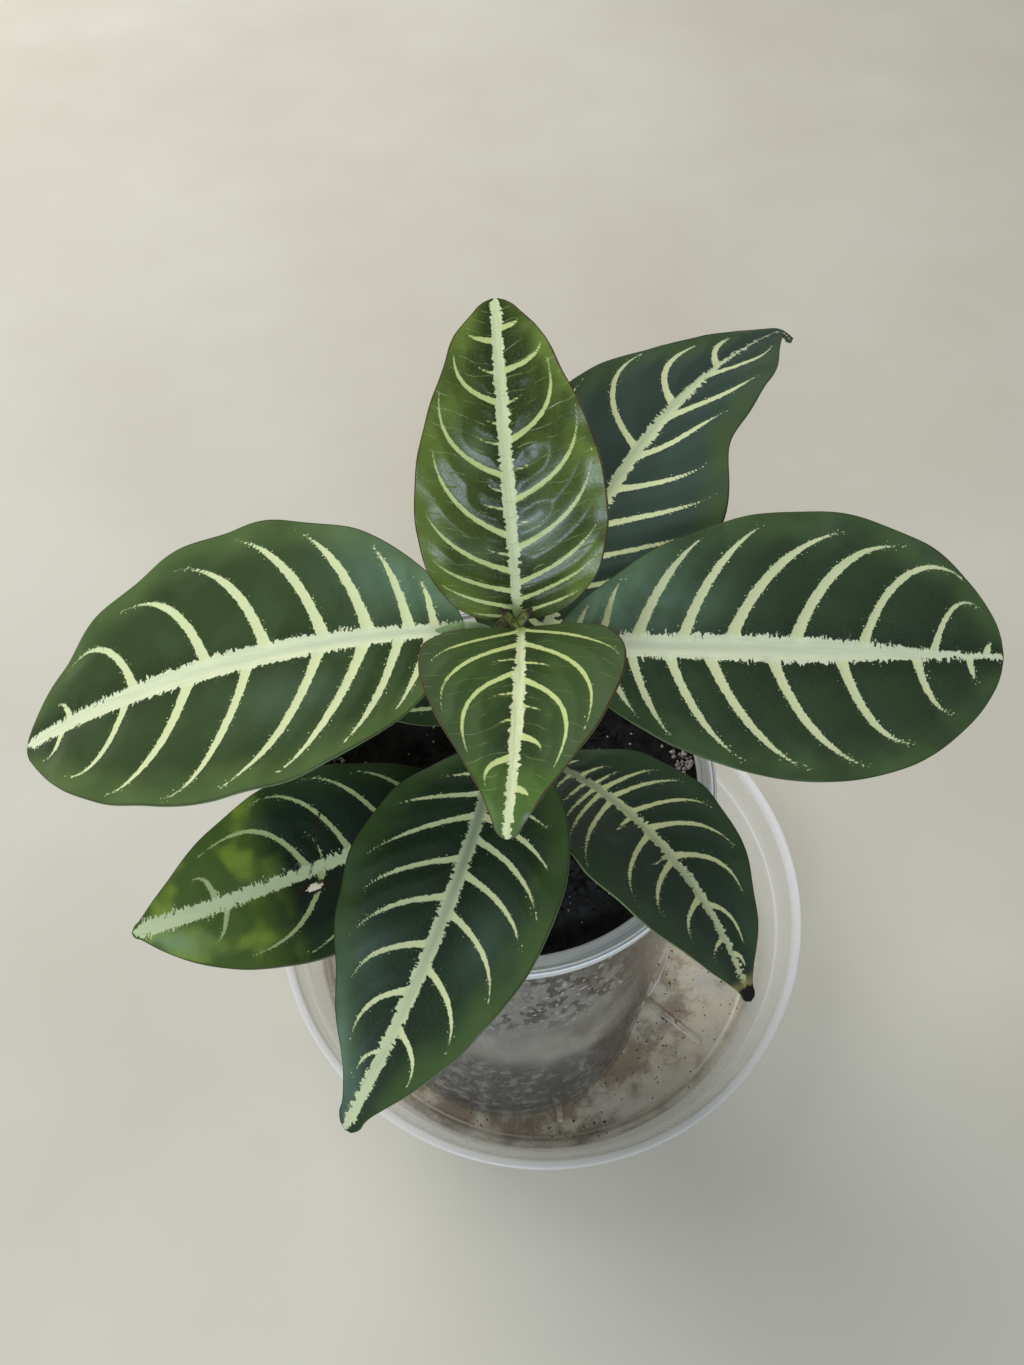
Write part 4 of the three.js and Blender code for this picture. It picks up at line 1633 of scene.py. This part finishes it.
LEAF_BACK_LEFT = Leaf(
    name="leaf_back_left", finish=OLD_LEAF,
    height=177, start_radius=8, start_heading=143, heading=141, turn=14,
    rise=16, dip=-32, length=68, left_half=19, right_half=19, roll=4, twist=2,
    base_taper=0.9, tip_taper=1.1, quilt=0.5, ruffle=0.5, ruffles=5, stalk_drop=4,
    rib=(1.1, 1.6, 1.0), vein_half=0.5, tip_radius=1.6, cells_along=120,
    left_veins=even_veins((0.1, 0.2, 0.31, 0.43, 0.56, 0.7, 0.83), 0.2, 0.88),
    right_veins=even_veins((0.12, 0.22, 0.34, 0.46, 0.59, 0.73, 0.86), 0.2, 0.86),
)
LEAF_LOW_LEFT = Leaf(
    name="leaf_low_left", finish=OLD_LEAF,
    height=164.5, start_radius=8, start_heading=233, heading=215, turn=-25,
    rise=9.5, dip=-17.5, length=88, left_half=21, right_half=23, roll=-2, twist=-4.5,
    base_taper=0.9, tip_taper=0.98, quilt=0.6, ruffle=0.4, ruffles=5, stalk_drop=1,
    rib=(0.9, 1.5, 1.9), vein_half=0.5, tip_radius=1.2, pith=0.25, right_bend=(0.2, 1.0),
    gleams=(Gleam((0.88, 0.6), (0.08, 0.3), 0.6),),
    left_veins=(
        Vein(0.14, 0.28, 0.9, 0.9), Vein(0.24, 0.42, 0.92), Vein(0.35, 0.58, 0.92),
        Vein(0.48, 0.7, 0.82, 1.1), Vein(0.735, 0.78, 0.62, 0.9),
    ),
    right_veins=(
        Vein(0.16, 0.32, 0.9, 0.9), Vein(0.28, 0.47, 0.92), Vein(0.4, 0.62, 0.92),
        Vein(0.515, 0.79, 0.8, 1.1), Vein(0.76, 0.82, 0.55, 1.1), Vein(0.47, 0.5, 0.38, 0.35),
    ),
    harm=Harm(
        hole=(0.515, 0.2), hole_size=(2.4, 1.1),
        crease=((0.515, 0.04), (0.495, -0.15), (0.475, -0.3), (0.45, -0.43), (0.44, -0.52)),
    ),
)
LEAVES = (
    LEAF_TOP_BACK, LEAF_TOP_FRONT, LEAF_LEFT, LEAF_RIGHT, LEAF_BACK_RIGHT, LEAF_FRONT,
    LEAF_FRONT_RIGHT, LEAF_BACK_LEFT, LEAF_LOW_LEFT,
)


# --------------------------------------------------------------- stem and bud


@dataclass(frozen=True)
class Stem:
    """The stem, thicker at each pair of leaves, with the scar of a lost leaf."""

    foot_height: float = 132
    top_height: float = 222.5
    foot_radius: float = 2.9
    top_radius: float = 1.9
    node_heights: Sequence[float] = (163.5, 174, 186, 194, 213, 219.5)
    node_swell: float = 0.55
    node_spread: float = 1.8
    scar_heading: float = 45
    scar_radius: float = 1.9
    scar_top_radius: float = 1.5
    scar_depth: float = 2
    scar_lip: float = 0.35
    scar_hollow: float = 0.3
    rings: int = 110
    steps: int = 32

    def radius(self, height: float) -> float:
        """The stem's radius at a height, in millimetres.

        Args:
            height: The height in millimetres.

        Returns:
            The radius.
        """
        share = float(smooth_step(self.foot_height, self.top_height, np.array(height)))
        swell = sum(math.exp(-(((height - n) / self.node_spread) ** 2)) for n in self.node_heights)
        return mix(self.foot_radius, self.top_radius, share) + self.node_swell * swell

    def build(self) -> Object:
        """Build the stem with its scar.

        Returns:
            The stem's object.
        """
        low, high = self.foot_height, self.top_height
        profile = [(0, low), (self.foot_radius * 0.6, low)]
        heights = np.linspace(low + 2, high - 0.6, self.rings)
        profile += [(self.radius(float(h)), float(h)) for h in heights]
        profile += [(self.top_radius * 0.7, high), (0, high)]
        shape = turned(profile, self.steps)
        for vert in shape.verts:
            drift = noise.noise(Vector(vert.co) * 260) * 0.18 * MM
            vert.co += Vector((vert.co.x, vert.co.y, 0)).normalized() * drift
        self.add_scar(shape)
        bmesh.ops.translate(shape, verts=shape.verts[:], vec=STEM_AXIS * MM)
        return settle(shape, "stem_bark_piece", [STEM_BARK.make()], "stem", "stem")

    def add_scar(self, shape: bmesh.types.BMesh) -> None:
        """Add the raised round scar on the lowest pair's empty side.

        Args:
            shape: The stem, before it moves to its axis.
        """
        made = bmesh.ops.create_cone(
            shape, cap_ends=True, segments=18, radius1=self.scar_radius * MM,
            radius2=self.scar_top_radius * MM, depth=self.scar_depth * MM,
        )
        verts = made["verts"]
        cap = [f for f in {f for v in verts for f in v.link_faces} if f.normal.z > 0.9]
        bmesh.ops.inset_region(
            shape, faces=cap, thickness=self.scar_lip * MM, depth=-self.scar_hollow * MM,
        )
        verts = list({v for f in cap for v in f.verts} | set(verts))
        turn = Matrix.Rotation(math.radians(self.scar_heading), 4, "Z")
        out = self.radius(self.node_heights[0]) - 0.3
        set_out = Matrix.Translation(Vector((out, 0, self.node_heights[0] + 1)) * MM)
        lay = Matrix.Rotation(math.pi / 2, 4, "Y")
        bmesh.ops.transform(shape, matrix=turn @ set_out @ lay, verts=verts)


@dataclass(frozen=True)
class Bud:
    """The growing point: two folded leaflets on a low dome."""

    offset: Point = (1.9, -2.0)
    height: float = 223.3
    radius: float = 1.0
    leaflet_length: float = 5.2
    leaflet_half_width: float = 1.1
    leaflet_thickness: float = 0.8
    leaflet_tilt: float = 46
    dome_flatness: float = 0.6
    headings: Sequence[float] = (146, 34)

    def build(self) -> Object:
        """Build the dome and its leaflets.

        Returns:
            The bud's object.
        """
        shape = bmesh.new()
        shape.verts.layers.float.new("edge")
        dome = bmesh.ops.create_uvsphere(shape, u_segments=24, v_segments=16, radius=self.radius * MM)
        bmesh.ops.scale(shape, vec=(1, 1, self.dome_flatness), verts=dome["verts"])
        lift = Vector((0, 0, self.radius * self.dome_flatness * MM))
        bmesh.ops.translate(shape, vec=lift, verts=dome["verts"])
        for heading in self.headings:
            self.add_leaflet(shape, heading)
        centre = STEM_AXIS + Vector((*self.offset, self.height))
        bmesh.ops.translate(shape, vec=centre * MM, verts=shape.verts[:])
        return settle(shape, "bud_leaflets", [BudFinish().make()], "bud", "bud")

    def add_leaflet(self, shape: bmesh.types.BMesh, heading: float) -> None:
        """Add a pointed leaflet, folded along its middle, that leans outward.

        Args:
            shape: The bmesh that it joins.
            heading: Where it leans, in degrees.
        """
        made = bmesh.ops.create_uvsphere(shape, u_segments=20, v_segments=16, radius=1)
        edge = shape.verts.layers.float["edge"]
        length, half, thick = self.leaflet_length, self.leaflet_half_width, self.leaflet_thickness
        for vert in made["verts"]:
            share = (vert.co.z + 1) / 2
            vert[edge] = max(abs(vert.co.x), share)
            narrow = (1 - 0.45 * share**3) * (1 + 0.25 * (1 - share))
            fold = 0.35 * abs(vert.co.x) * math.sin(math.pi * share)
            vert.co = Vector((
                vert.co.x * half * narrow,
                (vert.co.y * 0.5 + fold) * thick,
                share * length,
            )) * MM
        lean = Matrix.Rotation(math.radians(self.leaflet_tilt), 4, "X")
        turn = Matrix.Rotation(math.radians(heading + 90), 4, "Z")
        bmesh.ops.transform(shape, matrix=turn @ lean, verts=made["verts"])


# -------------------------------------------------------- saucer, pot and soil


@dataclass(frozen=True)
class Saucer:
    """The wide clear saucer: floor, low wall, ledge, upper wall and rim."""

    rim_radius: float = 94
    rim_height: float = 31
    ledge_radius: float = 88
    ledge_height: float = 19
    floor_radius: float = 81
    floor_thickness: float = 2
    wall: float = 1.8
    ring_radius: float = 49.5
    ring_width: float = 3
    rib_count: int = 8
    rib_heading: float = -40
    rib_end_radius: float = 75
    rib_width: float = 2
    rib_height: float = 1.2
    rib_sunk: float = 0.3
    rib_rounding: float = 0.5
    wall_rounding: float = 0.8
    steps: int = 160

    def profile(self) -> list[Point]:
        """The wall's outline, with the ring that is raised on the floor.

        Returns:
            Corners as (radius, height), in millimetres.
        """
        floor, ledge, rim = self.floor_radius, self.ledge_radius, self.rim_radius
        thick, height, top = self.floor_thickness, self.ledge_height, self.rim_height
        inner = self.ring_radius - self.ring_width / 2
        outer = self.ring_radius + self.ring_width / 2
        return [
            (0, 0), (floor - 1, 0), (floor + 1.6, 1.6), (ledge + 0.4, height - 1.8),
            (ledge + 2.6, height - 0.9), (rim - 1.4, top - 2.2), (rim, top - 1.6), (rim - 0.2, top),
            (rim - 2.8, top - 0.6), (ledge + 2.6 - self.wall, height + 0.9), (ledge - 1.2, height),
            (floor, thick + 1.6), (floor - 1.8, thick),
            (outer + 0.1, thick), (outer - 0.4, thick + self.rib_height),
            (inner + 0.4, thick + self.rib_height), (inner - 0.1, thick), (0, thick),
        ]

    def build(self) -> Object:
        """Build the saucer with its floor's ring and ribs.

        Returns:
            The saucer's object.
        """
        shape = turned(softened(self.profile(), self.wall_rounding), self.steps)
        for index in range(self.rib_count):
            self.add_rib(shape, self.rib_heading + index * 360 / self.rib_count)
        return settle(shape, "saucer_shell", [SAUCER_PLASTIC.make()], "saucer_plastic", "saucer")

    def add_rib(self, shape: bmesh.types.BMesh, heading: float) -> None:
        """Add one rounded rib, from the ring outward.

        Args:
            shape: The bmesh that it joins.
            heading: Where it points, in degrees.
        """
        length = self.rib_end_radius - self.ring_radius
        verts = bmesh.ops.create_cube(shape, size=1)["verts"]
        size = Vector((length, self.rib_width, self.rib_height + self.rib_sunk)) * MM
        bmesh.ops.scale(shape, vec=size, verts=verts)
        rise = self.floor_thickness + (self.rib_height - self.rib_sunk) / 2
        place = Vector((self.ring_radius + length / 2, 0, rise)) * MM
        bmesh.ops.translate(shape, vec=place, verts=verts)
        turn = Matrix.Rotation(math.radians(heading), 4, "Z")
        bmesh.ops.transform(shape, matrix=turn, verts=verts)
        top = [e for e in {e for v in verts for e in v.link_edges}
               if all(v.co.z > self.floor_thickness * MM for v in e.verts)]
        bmesh.ops.bevel(
            shape, geom=top, offset=self.rib_rounding * MM, segments=3, profile=0.5,
            affect="EDGES", material=-1,
        )


@dataclass(frozen=True)
class Pot:
    """The clear tall pot: a nearly straight wall, a flat rim with a bead, drain holes."""

    bottom: float = 3.5
    base_radius: float = 47.9
    top_radius: float = 48.4
    height: float = 161
    wall: float = 1
    floor_thickness: float = 1.6
    rim_inner: float = 45.2
    rim_outer: float = 49.8
    rim_depth: float = 3.4
    drain_holes: int = 6
    drain_radius: float = 4
    drain_circle: float = 28
    drill_depth: float = 6
    wall_rounding: float = 0.3
    steps: int = 144

    def profile(self) -> list[Point]:
        """The wall's outline, from the middle of the underside round to the inside.

        Returns:
            Corners as (radius, height), in millimetres.
        """
        low, rim = self.bottom, self.bottom + self.height
        under = rim - self.rim_depth
        outer, inner = self.rim_outer, self.rim_inner
        base, top = self.base_radius - self.wall, self.top_radius - self.wall
        return [
            (0, low), (self.base_radius - 1.4, low), (self.base_radius, low + 1.4),
            (self.top_radius, under), (outer - 0.3, under + 0.4), (outer, under + 0.9),
            (outer, rim - 0.35), (outer - 0.3, rim), (outer - 0.65, rim - 0.35),
            (outer - 1.0, rim), (outer - 1.45, rim - 0.6), (inner + 2.6, rim - 0.75),
            (inner + 2.2, rim - 0.6), (inner + 0.4, rim - 0.6), (inner, rim - 1),
            (inner + 0.4, rim - 1.7), (top, rim - 2.4), (top, under),
            (base, low + self.floor_thickness + 1), (base - 1.2, low + self.floor_thickness),
            (0, low + self.floor_thickness),
        ]

    def build(self) -> Object:
        """Build the pot and drill its drain holes.

        Returns:
            The pot's object.
        """
        shape = turned(softened(self.profile(), self.wall_rounding), self.steps)
        self.drill(shape)
        bmesh.ops.translate(shape, vec=POT_CENTRE * MM, verts=shape.verts[:])
        return settle(shape, "pot_wall", [POT_PLASTIC.make()], "pot_plastic", "pot")

    def drill(self, shape: bmesh.types.BMesh) -> None:
        """Cut the drain holes through the floor with a boolean.

        Args:
            shape: The pot, before it moves to its place.
        """
        body = self.loose_object(shape, "pot_body")
        cutter = bmesh.new()
        for index in range(self.drain_holes):
            angle = index * 2 * math.pi / self.drain_holes
            spot = Vector((math.cos(angle), math.sin(angle), 0)) * self.drain_circle
            spot.z = self.bottom + self.floor_thickness / 2
            bmesh.ops.create_cone(
                cutter, cap_ends=True, segments=32, radius1=self.drain_radius * MM,
                radius2=self.drain_radius * MM, depth=self.drill_depth * MM,
                matrix=Matrix.Translation(spot * MM),
            )
        drill = self.loose_object(cutter, "pot_drill")
        cutter.free()
        cut = body.modifiers.new("drain_holes", "BOOLEAN")
        cut.operation = "DIFFERENCE"
        cut.solver = "EXACT"
        cut.object = drill
        ready = body.evaluated_get(bpy.context.evaluated_depsgraph_get())
        drilled = bpy.data.meshes.new_from_object(ready)
        shape.clear()
        shape.from_mesh(drilled)
        for left_over in (body, drill):
            bpy.data.objects.remove(left_over)
        bpy.data.meshes.remove(drilled)

    @staticmethod
    def loose_object(shape: bmesh.types.BMesh, name: str) -> Object:
        """Copy a bmesh into a helper object of its own.

        Args:
            shape: The bmesh to copy.
            name: The helper's name.

        Returns:
            The helper.
        """
        mesh = bpy.data.meshes.new(name)
        shape.to_mesh(mesh)
        helper = bpy.data.objects.new(name, mesh)
        bpy.context.scene.collection.objects.link(helper)
        return helper


class Crumb(Enum):
    """What the loose grains on the soil are, by the index of their finish."""

    MIX = 0
    PERLITE = 1
    ROOT = 2


@dataclass(frozen=True)
class Soil:
    """The potting mix, its crumbs, its perlite and the roots at its edge."""

    bottom: float = 5.4
    base_radius: float = 46.6
    edge_radius: float = 47.1
    edge_height: float = 157
    crown: float = 1.2
    clods: float = 1
    rings: int = 70
    side_rings: int = 40
    steps: int = 144
    crumbs: int = 700
    perlite: int = 210
    perlite_sizes: Sequence[float] = (0.18, 0.25, 0.32, 0.45)
    roots: int = 34
    clumps: Sequence[Point] = ((173, 43.5), (8.5, 44))
    clump_grains: int = 34
    seed: int = 11

    def top_height(self, x: float, y: float) -> float:
        """The soil's height at a place in the pot, in millimetres.

        Args:
            x: The place from the pot's middle, in millimetres.
            y: The same, along Y.

        Returns:
            The height.
        """
        share = min(1.0, math.hypot(x, y) / self.edge_radius)
        calm = 1 - float(smooth_step(0.86, 1, np.array(share)))
        long = math.sin(0.31 * x + 0.17 * y + 0.8)
        middle = math.sin(0.52 * y - 0.23 * x + 2.1)
        short = math.sin(0.83 * x + 0.61 * y) * 0.7
        clod = self.clods * (long + middle + short) / 2.7
        rough = noise.fractal(Vector((x, y, 3.7)) * 0.55, 0.9, 2.1, 4) * 0.8
        return self.edge_height + self.crown * (1 - share * share) + (clod + rough) * calm

    def build(self) -> Object:
        """Build the soil with everything that lies in it.

        Returns:
            The soil's object.
        """
        shape = self.body()
        draw = random.Random(self.seed)
        for _ in range(self.crumbs):
            self.add_grain(shape, draw, self.spot(draw), Crumb.MIX, draw.uniform(0.5, 1.3))
        for _ in range(self.perlite):
            size = draw.choice(self.perlite_sizes)
            self.add_grain(shape, draw, self.spot(draw), Crumb.PERLITE, size)
        for heading, out in self.clumps:
            for _ in range(self.clump_grains):
                near = math.radians(heading + draw.gauss(0, 3.4))
                spot = self.on_top(near, min(out + draw.gauss(0, 1.2), self.edge_radius - 0.9))
                self.add_grain(shape, draw, spot, Crumb.PERLITE, draw.uniform(0.4, 1.0))
        for index in range(self.roots):
            self.add_root(shape, draw, index)
        bmesh.ops.translate(shape, vec=POT_CENTRE * MM, verts=shape.verts[:])
        finishes = [POTTING_MIX.make(), PERLITE.make(), ROOT_SKIN.make()]
        return settle(shape, "soil_bed", finishes, "soil", "soil")

    def body(self) -> bmesh.types.BMesh:
        """The filled shape of the soil, rough on top.

        Returns:
            The new bmesh, round the origin.
        """
        radii = np.linspace(self.base_radius, self.edge_radius, self.side_rings)
        heights = np.linspace(self.bottom + 1.6, self.edge_height, self.side_rings)
        top = [(self.edge_radius * ring / self.rings, self.edge_height)
               for ring in range(self.rings - 1, -1, -1)]
        profile = [(0, self.bottom), (self.base_radius - 1.7, self.bottom)]
        profile += [*zip(radii.tolist(), heights.tolist()), *top]
        shape = turned(profile, self.steps)
        for vert in shape.verts:
            place = vert.co / MM
            if place.z > self.edge_height - 0.01:
                vert.co.z = self.top_height(place.x, place.y) * MM
            elif place.z > self.bottom + 1:
                inward = abs(noise.fractal(place * 0.22, 1.0, 2.0, 3)) * 0.45 * MM
                vert.co -= Vector((place.x, place.y, 0)).normalized() * inward
        return shape

    def spot(self, draw: random.Random) -> Vector:
        """A random place on the soil, in millimetres."""
        out = (self.edge_radius - 1.2) * math.sqrt(draw.random())
        return self.on_top(draw.uniform(0, 2 * math.pi), out)

    def on_top(self, angle: float, out: float) -> Vector:
        """The soil's surface at an angle and a distance from the middle."""
        x, y = out * math.cos(angle), out * math.sin(angle)
        return Vector((x, y, self.top_height(x, y)))

    @staticmethod
    def add_grain(
        shape: bmesh.types.BMesh, draw: random.Random, spot: Vector, kind: Crumb, size: float
    ) -> None:
        """Add one crumb, sunk by half into the soil at a spot.

        Args:
            shape: The bmesh that it joins.
            draw: The source of random numbers.
            spot: Where it lies, in millimetres.
            kind: What it is.
            size: Its radius in millimetres.
        """
        squash = Vector((draw.uniform(0.7, 1.2), draw.uniform(0.7, 1.2), draw.uniform(0.5, 0.9)))
        turn = Matrix.Rotation(draw.uniform(0, 6.28), 4, Vector((draw.random(), draw.random(), 0.4)))
        place = Matrix.Translation(spot * MM) @ turn @ Matrix.Diagonal((*squash, 1))
        made = bmesh.ops.create_icosphere(shape, subdivisions=1, radius=size * MM, matrix=place)
        for vert in made["verts"]:
            vert.co += Vector([draw.uniform(-0.15, 0.15) * size * MM for _ in range(3)])
        for face in {f for v in made["verts"] for f in v.link_faces}:
            face.material_index = kind.value

    def add_root(self, shape: bmesh.types.BMesh, draw: random.Random, index: int) -> None:
        """Add one thin root that climbs in and out of the soil near the wall.

        Args:
            shape: The bmesh that it joins.
            draw: The source of random numbers.
            index: The root's number, which picks its side.
        """
        angle = math.radians(30 + 22 * (index % 3) if index % 2 else 128 + 9 * (index % 5))
        angle += draw.uniform(-0.25, 0.25)
        if index % 3 == 0:
            angle = math.radians(self.clumps[index % 2][0] + draw.gauss(0, 3))
        out = self.edge_radius - draw.uniform(0.4, 4)
        sweep = draw.uniform(-0.16, 0.16)
        radius = draw.uniform(0.18, 0.36)
        waves = [draw.uniform(-1, 1) for _ in range(3)]

        def place(run: float, around: float) -> Vector:
            """A point on the root at a share of its length and an angle round it.

            Args:
                run: The share of the root's length.
                around: The angle round it.

            Returns:
                The point in metres.
            """
            turn = angle + sweep * run
            far = out - 2.2 * abs(waves[0]) * run + 0.8 * waves[1] * math.sin(5 * run)
            x, y = far * math.cos(turn), far * math.sin(turn)
            rise = 0.9 * math.sin(math.pi * run) * (1 + 0.6 * waves[2]) - 0.3
            centre = Vector((x, y, self.top_height(x, y) + rise))
            thin = radius * math.sin(math.pi * min(max(run, 0.0), 1.0)) ** 0.4
            side = Vector((math.cos(turn), math.sin(turn), 0)) * math.cos(around)
            return (centre + (side + Vector((0, 0, math.sin(around)))) * thin) * MM

        verts = wrap_tube(shape, place, 14, 6)
        for face in {f for v in verts for f in v.link_faces}:
            face.material_index = Crumb.ROOT.value


# ------------------------------------------------------------------------ stage


@dataclass(frozen=True)
class SoftLight:
    """A soft rectangular light that faces the plant. Lengths are in metres.

    power is in watts, and mirrored says whether glossy things show the light.
    """

    name: str
    place: tuple[float, float, float]
    size: Point
    power: float
    tint: str
    mirrored: bool = True

    def build(self, aim: Vector) -> None:
        """Hang the light so that it faces a point.

        Args:
            aim: The point that it faces, in metres.
        """
        data = bpy.data.lights.new(self.name, "AREA")
        data.shape = "RECTANGLE"
        data.size, data.size_y = self.size
        data.energy = self.power
        data.color = paint(self.tint)[:3]
        light = bpy.data.objects.new(self.name, data)
        light.location = self.place
        light.rotation_euler = (aim - Vector(self.place)).to_track_quat("-Z", "Y").to_euler()
        light.visible_glossy = self.mirrored
        bpy.context.scene.collection.objects.link(light)


DAYLIGHT = SoftLight("daylight", (-0.95, 0.9, 1.15), (1.6, 1.2), 30.0, "#f8f9ff", mirrored=False)
WINDOW = SoftLight("window", (-0.3, -1.35, 1.0), (0.75, 0.5), 16.0, "#d9e8ff")


@dataclass(frozen=True)
class Studio:
    """The pale table, the soft light and the camera. Lengths are in metres."""

    table_side: float = 4.0
    light_aim: tuple[float, float, float] = (0, -0.02, 0.15)
    room_tint: str = "#eef1f4"
    room_strength: float = 0.36
    lens: float = 27.06
    camera_place: tuple[float, float, float] = (-0.0104, -0.144, 0.3825)
    camera_tilt: float = 33.5

    def build(self) -> None:
        """Build the table, the lights and the camera."""
        self.add_table()
        self.add_world()
        for light in (DAYLIGHT, WINDOW):
            light.build(Vector(self.light_aim))
        self.add_camera()
        bpy.context.scene.view_settings.view_transform = "Standard"

    def add_table(self) -> None:
        """Add the plain pale table."""
        shape = bmesh.new()
        bmesh.ops.create_grid(shape, x_segments=1, y_segments=1, size=self.table_side / 2)
        mesh = bpy.data.meshes.new("table")
        shape.to_mesh(mesh)
        shape.free()
        mesh.materials.append(TABLE_CLOTH.make())
        table = bpy.data.objects.new("table", mesh)
        bpy.context.scene.collection.objects.link(table)

    def add_world(self) -> None:
        """Fill the room with even pale light."""
        world = bpy.data.worlds.new("pale_room")
        world.use_nodes = True
        background = world.node_tree.nodes["Background"]
        background.inputs["Color"].default_value = paint(self.room_tint)
        background.inputs["Strength"].default_value = self.room_strength
        bpy.context.scene.world = world

    def add_camera(self) -> None:
        """Add the camera, above the front of the plant and looking down on it."""
        data = bpy.data.cameras.new("camera")
        data.lens = self.lens
        data.sensor_width = 36
        data.clip_start = 0.01
        camera = bpy.data.objects.new("camera", data)
        camera.location = self.camera_place
        camera.rotation_euler = (math.radians(self.camera_tilt), 0, 0)
        bpy.context.scene.collection.objects.link(camera)
        bpy.context.scene.camera = camera


def main() -> None:
    """Build the stage, then every piece in order."""
    logging.basicConfig(level=logging.INFO, format="%(name)s %(message)s")
    Studio().build()
    Saucer().build()
    Pot().build()
    Soil().build()
    Stem().build()
    Bud().build()
    finishes: dict[str, Material] = {}
    for leaf in LEAVES:
        if leaf.finish.name not in finishes:
            finishes[leaf.finish.name] = leaf.finish.make()
        leaf.build(finishes[leaf.finish.name])


if __name__ == "__main__":
    main()
